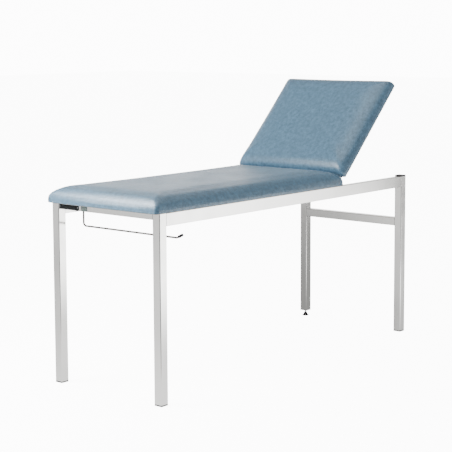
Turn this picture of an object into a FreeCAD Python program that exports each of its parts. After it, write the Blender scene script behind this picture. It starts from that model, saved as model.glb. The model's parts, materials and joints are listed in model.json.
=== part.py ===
import FreeCAD, Part
import Sketcher
import math
import os
from types import SimpleNamespace
from FreeCAD import Placement, Rotation, Vector

# Two-section examination couch with a ratchet-hinged head section.
# X runs from the foot end to the head end, Y across the couch, Z up from the floor.
# The origin is on the floor under the middle of the couch. "near" is the -Y side.
# Lengths are in millimetres and angles in degrees.

SIZES = [
    ("frame_length", 1700, "over the legs, foot end to head end"),
    ("frame_width", 595, "over the legs, side to side"),
    ("leg_top", 745, "floor to the top of the rails"),
    ("leg_side", 38, "square leg tube"),
    ("leg_wall", 1.5, "wall of the leg tube"),
    ("leg_corner", 2.5, "outer corner radius of the leg tube"),
    ("rail_height", 50, "side rail, upright"),
    ("rail_thickness", 25, "side rail, across"),
    ("rail_wall", 1.5, "wall of the side rail"),
    ("rail_corner", 2, "outer corner radius of the rails"),
    ("cross_side", 25, "square cross rail under the top"),
    ("head_rail_level", 508, "floor to the underside of the head cross rail"),
    ("middle_rail_offset", 118, "pivot back to the near face of the middle cross rail"),
    ("glide_head", 6, "visible height of a floor glide"),
    ("glide_plug", 22, "ribbed part of a glide or cap inside the tube"),
    ("glide_chamfer", 1, "edge of a glide or cap"),
    ("rib_count", 3, "ribs on a plug"),
    ("rib_height", 2.5, "one rib on a plug"),
    ("rib_depth", 1.6, "how far a rib stands out of the plug"),
    ("plug_wall", 3, "wall of the hollow plug"),
    ("plug_clearance", 0.1, "between a plug and its tube, all round"),
    ("cap_head", 5, "visible height of a leg-top cap"),
    ("leveller_gap", 28, "floor to the bottom of the far head leg"),
    ("insert_depth", 30, "threaded insert inside the far head leg"),
    ("spindle_radius", 4, "M8 levelling spindle"),
    ("spindle_length", 60, "levelling spindle"),
    ("spindle_lift", 5, "floor to the lower end of the spindle"),
    ("spindle_flats", 6.5, "across the wrench flats"),
    ("flats_height", 5, "length of the wrench flats"),
    ("thread_clearance", 0.1, "spindle in its insert, radial"),
    ("swivel_clearance", 0.06, "pins and shafts in their holes, radial"),
    ("foot_radius", 16, "levelling foot at the floor"),
    ("foot_height", 17, "levelling foot"),
    ("foot_neck", 7.5, "radius of the levelling foot at its top"),
    ("foot_rim", 4, "upright rim of the levelling foot"),
    ("pad_side_overhang", 7.5, "both pads beyond the frame, on each side"),
    ("pad_edge", 58, "pad thickness where the rolled edge meets the top, board included"),
    ("pad_crown", 9, "how much fuller the middle of a pad is"),
    ("pad_corner", 14, "pad corner, seen from above"),
    ("pad_roll", 52, "how far in from the side the pad's rolled top edge reaches"),
    ("pad_rise", 44, "height of the pad's rolled top edge"),
    ("pad_hem", 5, "rounding of the pad's bottom edge"),
    ("pad_draw", 3, "how far the sides draw in between the corners"),
    ("cover_wall", 4, "padding and cover beside the board"),
    ("foot_overhang", 25, "body pad beyond the foot legs"),
    ("body_pad_length", 1215, "body pad"),
    ("head_pad_length", 560, "head pad"),
    ("board_thickness", 15, "plywood boards"),
    ("pad_overlap", 20, "body pad beyond the pivot"),
    ("head_setback", 53, "head pad from the pivot, along the pad"),
    ("pivot_drop", 11, "pivot below the underside of the pads"),
    ("rest_angle", 45, "head section as drawn"),
    ("flat_angle", 0.65, "head section lowered on to the leg caps"),
    ("rest_step", 6, "teeth from lowered to the drawn position"),
    ("last_step", 8, "teeth from lowered to the highest position"),
    ("plate_thickness", 4, "hinge plate, arm and pawl"),
    ("layer_gap", 0.5, "between the plate and what turns on it"),
    ("plate_tail", 62, "hinge plate towards the foot end, from the pivot"),
    ("plate_nose", 54, "hinge plate towards the head end, from the pivot"),
    ("plate_drop", 34, "hinge plate below the pivot"),
    ("plate_rise", 10, "hinge plate above the pivot"),
    ("plate_corner", 9, "corners of the hinge plate"),
    ("pivot_radius", 5, "pivot pin"),
    ("pivot_head", 9, "radius of the pivot pin's head"),
    ("pin_head_thickness", 2.5, "heads of the pivot and pawl pins"),
    ("hub_radius", 10.2, "plain part of the arm's hub"),
    ("tooth_tip", 30, "radius over the ratchet teeth"),
    ("tooth_depth", 2, "ratchet teeth"),
    ("arm_length", 300, "arm from the pivot to its far end"),
    ("arm_depth", 18, "arm below the pads, at its start"),
    ("arm_end_depth", 9, "arm below the pads, at its far end"),
    ("flange_width", 25, "arm's flange under the head board"),
    ("flange_thickness", 3, "arm's flange"),
    ("flange_start", 64, "start of the flange, from the pivot"),
    ("arm_clearance", 1.5, "arm from the body pad's end, all through its swing"),
    ("pawl_angle", 230, "where the pawl meets the teeth"),
    ("pawl_reach", 30, "pawl pin to the pawl's tip"),
    ("pawl_pin_radius", 3, "pawl pin"),
    ("pawl_pin_head", 6, "radius of the pawl pin's head"),
    ("pawl_hub", 6.5, "pawl round its pin"),
    ("pawl_nose", 6, "depth of the pawl's tip"),
    ("tip_clearance", 0.35, "pawl's tip to the root of a tooth when engaged"),
    ("crest_clearance", 0.3, "pawl's tip to the tooth crests as drawn"),
    ("release_reach", 44, "pawl pin to the release bar"),
    ("release_slope", 187, "direction of the pawl's tail"),
    ("release_radius", 4, "release bar"),
    ("tail_radius", 7, "pawl round the release bar"),
    ("spring_thickness", 0.6, "strip of the pawl spring"),
    ("spring_width", 5, "strip of the pawl spring, across the couch"),
    ("spring_play", 0.3, "pawl spring from its pin, from the pawl and from the pin's head"),
    ("spring_slope", 24, "upper leg of the pawl spring above the horizontal"),
    ("spring_leg", 16, "upper leg of the pawl spring"),
    ("bolt_radius", 3, "M6 bolts"),
    ("bolt_flats", 10, "across the flats of an M6 head"),
    ("bolt_head_height", 4, "M6 head"),
    ("hole_clearance", 0.25, "bolts and screws in their holes, radial"),
    ("board_screw_count", 2, "coach screws from each side rail into the body board"),
    ("board_screw_margin", 170, "first and last board screw from the rail's ends"),
    ("access_radius", 8, "hole for the socket in the underside of a rail"),
    ("screw_stop", 3, "tips of the board screws below the top of the board"),
    ("screw_radius", 2.5, "coach screws into the head board"),
    ("screw_flats", 8, "across the flats of a coach screw's head"),
    ("screw_head_height", 3.2, "coach screw's head"),
    ("screw_length", 14, "coach screw under its head"),
    ("screw_count", 2, "coach screws in an arm"),
    ("rod_radius", 4, "couch-roll rod"),
    ("rod_from_foot", 130, "rod from the foot face of the legs"),
    ("rod_standoff", 20.5, "rod from the far rail's inner face"),
    ("rod_drop", 108, "rails' top down to the middle of the rod"),
    ("rod_top_gap", 5, "rod's upper end below the board"),
    ("rod_bend", 15, "rod's first bend, to the middle of the rod"),
    ("rod_tip_bend", 18, "rod's upward bend, to the middle of the rod"),
    ("rod_tip_angle", 26, "upward slope of the rod's tip"),
    ("rod_corner_from_edge", 39, "upward bend from the pad's near side"),
    ("rod_tip_length", 30, "sloping end of the rod"),
    ("tip_cap_radius", 5.8, "black tip cap"),
    ("tip_cap_length", 25, "black tip cap"),
    ("tip_cap_cover", 20, "how far the cap reaches over the rod"),
    ("bracket_width", 40, "rod bracket along the rail"),
    ("bracket_drop", 3, "rails' top down to the top of the rod bracket"),
    ("bracket_height", 41, "height of the rod bracket"),
    ("bracket_sheet", 3, "steel of the rod bracket"),
    ("lug_radius", 9, "rounded ends of the bracket's lugs"),
    ("lug_drop", 9, "upper lug below the top of the bracket"),
    ("retainer_radius", 7.5, "push-on retainer on the rod"),
    ("retainer_height", 2.5, "push-on retainer"),
    ("long_plate_width", 114, "long blank plate on the foot cross rail"),
    ("long_plate_edge", 4, "long blank plate from the far leg"),
    ("short_plate_width", 35, "short blank plate"),
    ("short_plate_gap", 12, "between the two blank plates"),
    ("blank_plate_margin", 1.2, "blank plates from the edges of the rail"),
    ("blank_plate_thickness", 1, "blank plates"),
    ("rivet_radius", 1.8, "rivets of the blank plates"),
    ("rivet_rise", 0.7, "rivet out of its plate"),
    ("rivet_margin", 6, "rivet from the end of its plate"),
    ("overrun", 1, "how far a cut runs past the face it opens"),
]

doc = FreeCAD.newDocument("examination_couch")
sheet = doc.addObject("Spreadsheet::Sheet", "sizes")
for row, (alias, value, meaning) in enumerate(SIZES, start=1):
    sheet.set(f"A{row}", alias)
    sheet.set(f"B{row}", str(value))
    sheet.set(f"C{row}", meaning)
    sheet.setAlias(f"B{row}", alias)
doc.recompute()
size = SimpleNamespace(**{alias: getattr(sheet, alias) for alias, _, _ in SIZES})

NEAR = -1
FAR = 1
SIDE_NAMES = {NEAR: "near", FAR: "far"}
ALONG = Vector(1, 0, 0)
ACROSS = Vector(0, 1, 0)
UP = Vector(0, 0, 1)
UPRIGHT = Rotation()
LYING_ALONG = Rotation(ACROSS, 90)
LYING_ACROSS = Rotation(ALONG, -90)
RAISED = Rotation(ACROSS, -size.rest_angle)

# Places that several pieces share, worked out from the driving sizes.
foot_face = -(size.frame_length - size.foot_overhang) / 2
foot_leg_x = foot_face + size.leg_side / 2
head_leg_x = foot_face + size.frame_length - size.leg_side / 2
leg_y = (size.frame_width - size.leg_side) / 2
rail_y = (size.frame_width - size.rail_thickness) / 2
rail_inner = size.frame_width / 2 - size.rail_thickness
rail_start = foot_face + size.leg_side
rail_length = size.frame_length - 2 * size.leg_side
between_legs = size.frame_width - 2 * size.leg_side
pad_width = size.frame_width + 2 * size.pad_side_overhang
body_pad_start = foot_face - size.foot_overhang
body_pad_end = body_pad_start + size.body_pad_length
pivot_x = body_pad_end - size.pad_overlap
pivot_z = size.leg_top - size.pivot_drop
rod_level = size.leg_top - size.rod_drop
bracket_bottom = size.leg_top - size.bracket_drop - size.bracket_height
tooth_pitch = (size.rest_angle - size.flat_angle) / size.rest_step
highest_angle = size.flat_angle + size.last_step * tooth_pitch
parts = []


def polar(radius, degrees):
    """A point in a hinge's own plane: along the couch, then up."""
    turn = math.radians(degrees)
    return (radius * math.cos(turn), radius * math.sin(turn))


def new_body(name):
    body = doc.addObject("PartDesign::Body", name)
    body.Label = name
    parts.append(body)
    return body


def new_sketch(body, name, role="XY_Plane", offset=0):
    plane = next(item for item in body.Origin.OriginFeatures if item.Role == role)
    sketch = body.newObject("Sketcher::SketchObject", name)
    sketch.AttachmentSupport = [(plane, "")]
    sketch.MapMode = "FlatFace"
    sketch.AttachmentOffset = Placement(Vector(0, 0, offset), Rotation())
    return sketch


def add_rectangle(sketch, width, depth):
    """A rectangle centred on the sketch's origin; both sizes are expressions."""
    start = sketch.GeometryCount
    corners = [Vector(-1, -1, 0), Vector(1, -1, 0), Vector(1, 1, 0), Vector(-1, 1, 0)]
    for corner, following in zip(corners, corners[1:] + corners[:1]):
        sketch.addGeometry(Part.LineSegment(corner, following), False)
    for side in range(4):
        following = start + (side + 1) % 4
        sketch.addConstraint(Sketcher.Constraint("Coincident", start + side, 2, following, 1))
    for side, direction in enumerate(("Horizontal", "Vertical", "Horizontal", "Vertical")):
        sketch.addConstraint(Sketcher.Constraint(direction, start + side))
    sketch.addConstraint(Sketcher.Constraint("Symmetric", start, 1, start + 1, 2, -1, 1))
    wide = sketch.addConstraint(Sketcher.Constraint("DistanceX", start, 1, start, 2, 2))
    deep = sketch.addConstraint(Sketcher.Constraint("DistanceY", start + 1, 1, start + 1, 2, 2))
    sketch.setExpression(f"Constraints[{wide}]", width)
    sketch.setExpression(f"Constraints[{deep}]", depth)


def add_circle(sketch, x, y, radius):
    """A circle at a worked-out place; its radius is an expression."""
    circle = Part.Circle(Vector(x, y, 0), Vector(0, 0, 1), 1)
    index = sketch.addGeometry(circle, False)
    sketch.addConstraint(Sketcher.Constraint("DistanceX", -1, 1, index, 3, x))
    sketch.addConstraint(Sketcher.Constraint("DistanceY", -1, 1, index, 3, y))
    bound = sketch.addConstraint(Sketcher.Constraint("Radius", index, 1))
    sketch.setExpression(f"Constraints[{bound}]", radius)


def add_outline(sketch, start, *moves):
    """A closed outline: a point goes on straight, a pair of points is an arc's middle and end."""
    here = Vector(*start, 0)
    for move in moves:
        if isinstance(move[0], tuple):
            middle, end = (Vector(*point, 0) for point in move)
            sketch.addGeometry(Part.Arc(here, middle, end), False)
        else:
            end = Vector(*move, 0)
            sketch.addGeometry(Part.LineSegment(here, end), False)
        here = end


def pad(body, sketch, length, name="pad", reverse=False, midplane=False):
    feature = body.newObject("PartDesign::Pad", name)
    feature.Profile = sketch
    feature.setExpression("Length", length)
    feature.Reversed = reverse
    feature.Midplane = midplane
    sketch.Visibility = False
    return feature


def pocket(body, sketch, length, name="pocket", reverse=False, midplane=False):
    feature = body.newObject("PartDesign::Pocket", name)
    feature.Profile = sketch
    feature.setExpression("Length", length)
    feature.Reversed = reverse
    feature.Midplane = midplane
    sketch.Visibility = False
    return feature


def revolve(body, sketch, name="revolution"):
    feature = body.newObject("PartDesign::Revolution", name)
    feature.Profile = sketch
    feature.ReferenceAxis = (sketch, ["V_Axis"])
    feature.Angle = 360
    sketch.Visibility = False
    return feature


def soften(body, feature, radius, chosen, kind="Fillet"):
    """Fillet or chamfer the edges of a feature that the test picks out."""
    doc.recompute()
    names = [f"Edge{i}" for i, edge in enumerate(feature.Shape.Edges, start=1) if chosen(edge)]
    softened = body.newObject(f"PartDesign::{kind}", kind.lower())
    softened.Base = (feature, names)
    softened.setExpression("Radius" if kind == "Fillet" else "Size", radius)
    return softened


def lies_along(edge, direction):
    if edge.Curve.TypeId != "Part::GeomLine":
        return False
    return abs(edge.Curve.Direction.dot(direction)) > 1 - 1e-6


def outermost(edge, half_width):
    middle = edge.CenterOfMass
    return max(abs(middle.x), abs(middle.y)) > half_width - 1e-6


def square_tube(name, width, depth, wall, corner, length):
    """Square or rectangular tube along its own Z, with rounded outer corners."""
    body = new_body(name)
    sketch = new_sketch(body, name + "_section")
    add_rectangle(sketch, width, depth)
    add_rectangle(sketch, f"{width} - 2 * {wall}", f"{depth} - 2 * {wall}")
    tube = pad(body, sketch, length, name + "_tube")
    doc.recompute()
    half = max(corner_point.x for corner_point in (v.Point for v in tube.Shape.Vertexes))
    soften(body, tube, corner, lambda edge: lies_along(edge, UP) and abs(
        abs(edge.CenterOfMass.x) - half) < 1e-6)
    return body


def place(item, x, y, z, rotation=UPRIGHT):
    item.Placement = Placement(Vector(x, y, z), rotation)
    return item


def loose(name, shape):
    """A sub-part made of plain solids, such as a set of like fasteners."""
    item = doc.addObject("Part::Feature", name)
    item.Label = name
    item.Shape = shape
    parts.append(item)
    return item


def peg(radius, start, direction, length):
    return Part.makeCylinder(radius, length, start, direction)


def hexagon_head(flats, seat, direction, height):
    """Six-sided head that stands on its seat."""
    turn = Placement(seat, Rotation(UP, direction))
    corners = [Vector(*polar(flats / math.sqrt(3), 60 * index), 0) for index in range(7)]
    return Part.Face(Part.makePolygon([turn * point for point in corners])).extrude(
        direction * height)


def hexagon_bolt(radius, flats, seat, direction, length, height):
    """Shank into the work along the direction, head on the other side of the seat."""
    return peg(radius, seat, direction, length).fuse(
        hexagon_head(flats, seat, -direction, height))


# Frame


def leg(name, x, y, bottom):
    """Upright square tube from the given level to the top of the rails."""
    tube = square_tube(name, "sizes.leg_side", "sizes.leg_side", "sizes.leg_wall",
                       "sizes.leg_corner", f"sizes.leg_top - sizes.{bottom}")
    return place(tube, x, y, getattr(size, bottom))


def board_screw_places():
    """Board screws along a side rail, from its start."""
    first = size.board_screw_margin
    last = pivot_x - size.middle_rail_offset - rail_start - size.bolt_flats / 2
    step = (last - first) / (size.board_screw_count - 1)
    return [first + step * index for index in range(int(size.board_screw_count))]


def side_rail(side):
    """Side rail with screw holes through its top and a wider access hole below each."""
    name = "side_rail_" + SIDE_NAMES[side]
    body = square_tube(name, "sizes.rail_height", "sizes.rail_thickness", "sizes.rail_wall",
                       "sizes.rail_corner", "sizes.frame_length - 2 * sizes.leg_side")
    for label, radius, downwards in (
        ("screw_holes", "sizes.bolt_radius + sizes.hole_clearance", False),
        ("access_holes", "sizes.access_radius", True),
    ):
        sketch = new_sketch(body, f"{name}_{label}", "YZ_Plane")
        for along in board_screw_places():
            add_circle(sketch, 0, along, radius)
        cut = "sizes.rail_height / 2 + sizes.overrun"
        pocket(body, sketch, cut, f"{name}_{label}_cut", reverse=downwards)
    middle_z = size.leg_top - size.rail_height / 2
    return place(body, rail_start, side * rail_y, middle_z, LYING_ALONG)


def foot_cross_rail():
    body = square_tube("foot_cross_rail", "sizes.cross_side", "sizes.cross_side",
                       "sizes.rail_wall", "sizes.rail_corner",
                       "sizes.frame_width - 2 * sizes.leg_side")
    middle = size.cross_side / 2
    return place(body, foot_face + middle, -between_legs / 2, size.leg_top - middle, LYING_ACROSS)


def head_cross_rail():
    body = square_tube("head_cross_rail", "sizes.leg_side", "sizes.leg_side", "sizes.leg_wall",
                       "sizes.leg_corner", "sizes.frame_width - 2 * sizes.leg_side")
    level = size.head_rail_level + size.leg_side / 2
    return place(body, head_leg_x, -between_legs / 2, level, LYING_ACROSS)


def middle_cross_rail():
    """Cross rail under the body board, just short of the head hinge."""
    body = square_tube("middle_cross_rail", "sizes.cross_side", "sizes.cross_side",
                       "sizes.rail_wall", "sizes.rail_corner",
                       "sizes.frame_width - 2 * sizes.rail_thickness")
    middle = size.cross_side / 2
    along = pivot_x - size.middle_rail_offset - middle
    return place(body, along, -rail_inner, size.leg_top - middle, LYING_ACROSS)


def tube_plug(name, head_height):
    """Moulded plug for a leg tube: a square head and a hollow stem with ribs above it."""
    body = new_body(name)
    head = new_sketch(body, name + "_head")
    add_rectangle(head, "sizes.leg_side", "sizes.leg_side")
    block = pad(body, head, f"sizes.{head_height}", name + "_head_pad")
    soften(body, block, "sizes.leg_corner", lambda edge: lies_along(edge, UP))
    tube_inside = "sizes.leg_side - 2 * sizes.leg_wall - 2 * sizes.plug_clearance"
    core = f"{tube_inside} - 2 * sizes.rib_depth"
    stem = new_sketch(body, name + "_stem", offset=getattr(size, head_height))
    add_rectangle(stem, core, core)
    pad(body, stem, "sizes.glide_plug", name + "_stem_pad")
    rib_step = (size.glide_plug - size.rib_height) / size.rib_count
    for index in range(int(size.rib_count)):
        level = getattr(size, head_height) + rib_step * (index + 1)
        rib = new_sketch(body, f"{name}_rib_{index + 1}", offset=level)
        add_rectangle(rib, tube_inside, tube_inside)
        pad(body, rib, "sizes.rib_height", f"{name}_rib_pad_{index + 1}")
    hollow = new_sketch(body, name + "_hollow", offset=getattr(size, head_height))
    inside = f"{core} - 2 * sizes.plug_wall"
    add_rectangle(hollow, inside, inside)
    pocket(body, hollow, "sizes.glide_plug + sizes.overrun", name + "_hollow_cut", reverse=True)
    return body


def floor_glide(name, x, y):
    return place(tube_plug(name, "glide_head"), x, y, 0)


def leg_cap(name, y):
    """Leg-top cap: the same kind of plug, turned over."""
    cap = tube_plug(name, "cap_head")
    return place(cap, head_leg_x, y, size.leg_top + size.cap_head, Rotation(ALONG, 180))


# Levelling foot under the far head leg


def leveller_insert():
    """Square insert, flush with the bottom of the tube, with the bore for the spindle."""
    body = new_body("leveller_insert")
    sketch = new_sketch(body, "insert_section")
    across = "sizes.leg_side - 2 * sizes.leg_wall - 2 * sizes.plug_clearance"
    add_rectangle(sketch, across, across)
    add_circle(sketch, 0, 0, "sizes.spindle_radius + sizes.thread_clearance")
    block = pad(body, sketch, "sizes.insert_depth", "insert_pad")
    soften(body, block, "sizes.glide_chamfer",
           lambda edge: lies_along(edge, UP), "Chamfer")
    return place(body, head_leg_x, leg_y, size.leveller_gap)


def leveller_spindle():
    """Threaded spindle with two wrench flats just above the foot."""
    body = new_body("leveller_spindle")
    sketch = new_sketch(body, "spindle_section")
    add_circle(sketch, 0, 0, "sizes.spindle_radius")
    pad(body, sketch, "sizes.spindle_length", "spindle_pad")
    flats_at = size.foot_height - size.spindle_lift + size.overrun
    flats = new_sketch(body, "spindle_flats", offset=flats_at)
    add_rectangle(flats, "3 * sizes.spindle_radius", "3 * sizes.spindle_radius")
    add_rectangle(flats, "sizes.spindle_flats", "2.5 * sizes.spindle_radius")
    pocket(body, flats, "sizes.flats_height", "spindle_flats_cut", reverse=True)
    return place(body, head_leg_x, leg_y, size.spindle_lift)


def leveller_foot():
    """Bell-shaped foot, turned about the spindle, with the socket that the spindle sits in."""
    body = new_body("leveller_foot")
    sketch = new_sketch(body, "foot_section", "XZ_Plane")
    bore = size.spindle_radius + size.swivel_clearance
    add_outline(
        sketch, (0, 0), (size.foot_radius, 0), (size.foot_radius, size.foot_rim),
        (size.foot_neck, size.foot_height), (bore, size.foot_height),
        (bore, size.spindle_lift), (0, size.spindle_lift), (0, 0),
    )
    revolve(body, sketch, "foot_revolution")
    return place(body, head_leg_x, leg_y, 0)


# Boards and pads


def rounded_loop(start, end, half_width, corner, draw, level):
    """Closed loop of arcs round a pad: its corners, and sides that draw in between them."""
    reach = corner * (1 - math.sqrt(0.5))
    middle = (start + end) / 2
    corners = []
    for x, y, sx, sy in ((end, -half_width, 1, -1), (end, half_width, 1, 1),
                         (start, half_width, -1, 1), (start, -half_width, -1, -1)):
        on_side = Vector(x - sx * corner, y, level)
        on_end = Vector(x, y - sy * corner, level)
        bulge = Vector(x - sx * reach, y - sy * reach, level)
        first, last = (on_side, on_end) if sx == -sy else (on_end, on_side)
        corners.append((first, bulge, last))
    drawn = [Vector(end - draw, 0, level), Vector(middle, half_width - draw, level),
             Vector(start + draw, 0, level), Vector(middle, draw - half_width, level)]
    edges = []
    for (first, bulge, last), side, (onward, _, _) in zip(corners, drawn,
                                                          corners[1:] + corners[:1]):
        edges.append(Part.Arc(first, bulge, last).toShape())
        if draw > 0:
            edges.append(Part.Arc(last, side, onward).toShape())
        else:
            edges.append(Part.LineSegment(last, onward).toShape())
    return Part.Wire(edges)


def board_shape(length, corner=Vector()):
    """Plywood board inside a pad's cover; the pad's end is at the given corner."""
    wall = size.cover_wall
    outline = rounded_loop(wall, length - wall, pad_width / 2 - wall,
                           size.pad_corner - wall, 0, 0)
    board = Part.Face(outline).extrude(UP * size.board_thickness)
    board.translate(corner)
    return board


def cushion_shape(length, corner=Vector()):
    """Padded cover: rolled top edge, sides that draw in, crowned top, open under the board."""
    corner_share = 0.3
    wall_top = size.pad_edge - size.pad_rise
    levels = [(0, size.pad_hem * 0.6), (size.pad_hem, 0), (wall_top, 0)]
    for turn in (22.5, 45, 67.5, 90):
        inset = size.pad_roll * (1 - math.cos(math.radians(turn)))
        rise = size.pad_rise * math.sin(math.radians(turn))
        levels.append((wall_top + rise, inset))
    for crown_share, inset_share in ((0.45, 0.13), (0.8, 0.25), (1, 0.42)):
        inset = size.pad_roll + inset_share * (pad_width / 2)
        levels.append((size.pad_edge + crown_share * size.pad_crown, inset))
    loops = []
    for level, inset in levels:
        turn = size.pad_corner + corner_share * min(inset, size.pad_roll)
        loops.append(rounded_loop(inset, length - inset, pad_width / 2 - inset,
                                  turn, size.pad_draw, level))
    form = Part.makeLoft(loops, True, True)
    form.translate(corner)
    return form.cut(board_shape(length, corner))


def board_screw_points():
    """The board screws in the couch's own frame, at the underside of the body board."""
    return [Vector(rail_start + along, side * rail_y, size.leg_top)
            for side in (NEAR, FAR) for along in board_screw_places()]


def board_screw_grip():
    return size.board_thickness - size.screw_stop


def body_board():
    shape = board_shape(size.body_pad_length)
    for point in board_screw_points():
        foot = Vector(point.x - body_pad_start, point.y, 0)
        shape = shape.cut(peg(size.bolt_radius, foot, UP, board_screw_grip()))
    return place(loose("body_board", shape), body_pad_start, 0, size.leg_top)


def body_pad():
    item = loose("body_pad", cushion_shape(size.body_pad_length))
    return place(item, body_pad_start, 0, size.leg_top)


def board_screws():
    """Coach screws that stand inside the rails and pull the body board down."""
    solids = []
    for point in board_screw_points():
        seat = point - UP * size.rail_wall
        solids.append(hexagon_bolt(size.bolt_radius, size.bolt_flats, seat, UP,
                                   size.rail_wall + board_screw_grip(),
                                   size.bolt_head_height))
    return loose("board_screws", Part.makeCompound(solids))


# The head section is drawn lowered, with the pivot as its origin, and then raised.


def raise_with_head(item):
    return place(item, pivot_x, 0, pivot_z, RAISED)


def arm_screw_points():
    """Coach screws through both arms' flanges, in the head section's own frame."""
    first = size.flange_start + 2 * size.screw_flats
    last = size.arm_length - 2 * size.screw_flats
    step = (last - first) / (size.screw_count - 1)
    inboard = rail_inner - size.plate_thickness - size.layer_gap - size.plate_thickness
    middle = inboard - (size.flange_width - size.plate_thickness) / 2
    return [Vector(first + step * index, side * middle, size.pivot_drop - size.flange_thickness)
            for side in (NEAR, FAR) for index in range(int(size.screw_count))]


def head_pad_corner():
    return Vector(size.head_setback, 0, size.pivot_drop)


def head_board():
    shape = board_shape(size.head_pad_length, head_pad_corner())
    for point in arm_screw_points():
        shape = shape.cut(peg(size.screw_radius, point, UP, size.screw_length))
    return raise_with_head(loose("head_board", shape))


def head_pad():
    shape = cushion_shape(size.head_pad_length, head_pad_corner())
    return raise_with_head(loose("head_pad", shape))


def arm_screws():
    solids = [hexagon_bolt(size.screw_radius, size.screw_flats, point, UP, size.screw_length,
                           size.screw_head_height) for point in arm_screw_points()]
    return raise_with_head(loose("arm_screws", Part.makeCompound(solids)))


# Ratchet hinge, one on the inner face of each side rail


def layer_y(side, layer):
    """Outer face of the plate (0) or of what turns on it (1), across the couch."""
    inwards = layer * (size.plate_thickness + size.layer_gap)
    return side * (rail_inner - inwards)


def inboard_pad(body, sketch, length, side, name="pad"):
    """The upright plane faces -Y, so a near-side piece grows the other way."""
    return pad(body, sketch, length, name, reverse=side == NEAR)


def hinge_plate(side):
    """Fixed plate with its pivot, pawl and bolt holes."""
    name = "hinge_plate_" + SIDE_NAMES[side]
    body = new_body(name)
    sketch = new_sketch(body, name + "_outline", "XZ_Plane")
    left, right = -size.plate_tail, size.plate_nose
    low, high = -size.plate_drop, size.plate_rise
    corner = size.plate_corner
    reach = corner * (1 - math.sqrt(0.5))
    add_outline(
        sketch, (left + corner, low), (right - corner, low),
        ((right - reach, low + reach), (right, low + corner)), (right, high - corner),
        ((right - reach, high - reach), (right - corner, high)), (left + corner, high),
        ((left + reach, high - reach), (left, high - corner)), (left, low + corner),
        ((left + reach, low + reach), (left + corner, low)),
    )
    add_circle(sketch, 0, 0, "sizes.pivot_radius + sizes.swivel_clearance")
    add_circle(sketch, *pawl_pivot(), "sizes.pawl_pin_radius + sizes.swivel_clearance")
    for point in plate_bolt_places():
        add_circle(sketch, *point, "sizes.bolt_radius + sizes.hole_clearance")
    inboard_pad(body, sketch, "sizes.plate_thickness", side)
    return place(body, pivot_x, layer_y(side, 0), pivot_z)


def pawl_pivot():
    """The pawl's pin stands square to the tooth face that it holds."""
    tip = polar(engaged_tip_radius(), size.pawl_angle)
    back = polar(size.pawl_reach, size.pawl_angle - 90)
    return (tip[0] + back[0], tip[1] + back[1])


def engaged_tip_radius():
    return size.tooth_tip - size.tooth_depth + size.tip_clearance


def plate_bolt_places():
    clear = size.bolt_flats + size.bolt_radius
    low = -size.plate_drop + size.plate_corner
    return [(-size.plate_tail + size.plate_corner, low), (size.plate_nose - clear, low)]


def hinge_arm(side):
    """Cranked arm: it dips under the body pad's end, with ratchet teeth round its hub."""
    name = "hinge_arm_" + SIDE_NAMES[side]
    body = new_body(name)
    sketch = new_sketch(body, name + "_outline", "XZ_Plane")
    root = size.tooth_tip - size.tooth_depth
    slack = math.degrees(size.tip_clearance / size.tooth_tip)
    first_step = -1
    teeth = range(int(size.last_step), first_step, -1)
    upper_turn = size.pawl_angle - highest_angle - tooth_pitch
    moves = []
    for step in teeth:
        face = size.pawl_angle + slack / 2 - size.flat_angle - step * tooth_pitch
        moves.append(polar(root, face))
        moves.append(polar(size.tooth_tip, face))
    lower_turn = size.pawl_angle - size.flat_angle + tooth_pitch
    moves.append(polar(root, lower_turn))
    heel_turn = 318
    moves.append((polar(root, (lower_turn + heel_turn) / 2), polar(root, heel_turn)))
    flange_under = size.pivot_drop - size.flange_thickness
    moves.append((size.flange_start, size.pivot_drop - size.arm_depth))
    moves.append((size.arm_length - size.arm_end_depth, size.pivot_drop - size.arm_end_depth))
    moves.append((size.arm_length, flange_under))
    moves.append((size.arm_length, size.pivot_drop))
    moves.append((size.flange_start, size.pivot_drop))
    # The top edge clears the corner of the body pad's end at every angle of the swing.
    corner_x = size.pad_overlap + size.arm_clearance
    corner_z = size.pivot_drop - size.arm_clearance
    for share in (0.85, 0.7, 0.55, 0.45):
        radius = share * size.flange_start
        limit = math.degrees(math.acos(corner_x / radius)) - highest_angle
        moves.append(polar(radius, limit))
    dip = math.hypot(corner_x, corner_z)
    moves.append(polar(dip, math.degrees(math.atan2(corner_z, corner_x)) - highest_angle))
    moves.append(polar(size.hub_radius, -highest_angle / 2))
    hub_end = polar(size.hub_radius, upper_turn)
    moves.append((polar(size.hub_radius, (upper_turn - highest_angle / 2) / 2), hub_end))
    moves.append(polar(root, upper_turn))
    add_outline(sketch, polar(root, upper_turn), *moves)
    add_circle(sketch, 0, 0, "sizes.pivot_radius + sizes.swivel_clearance")
    inboard_pad(body, sketch, "sizes.plate_thickness", side, name + "_web")
    flange = new_sketch(body, name + "_flange", "XZ_Plane")
    start, end, top = size.flange_start, size.arm_length, size.pivot_drop
    add_outline(flange, (start, flange_under), (end, flange_under), (end, top), (start, top),
                (start, flange_under))
    inboard_pad(body, flange, "sizes.flange_width", side, name + "_flange_pad")
    holes = new_sketch(body, name + "_screw_holes", "XY_Plane", flange_under)
    across = side * (size.plate_thickness + (size.flange_width - size.plate_thickness) / 2)
    for point in arm_screw_points()[:int(size.screw_count)]:
        add_circle(holes, point.x, -across, "sizes.screw_radius + sizes.hole_clearance")
    pocket(body, holes, "sizes.flange_thickness + sizes.overrun", name + "_holes_cut",
           reverse=True)
    return place(body, pivot_x, layer_y(side, 1), pivot_z, RAISED)


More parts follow.
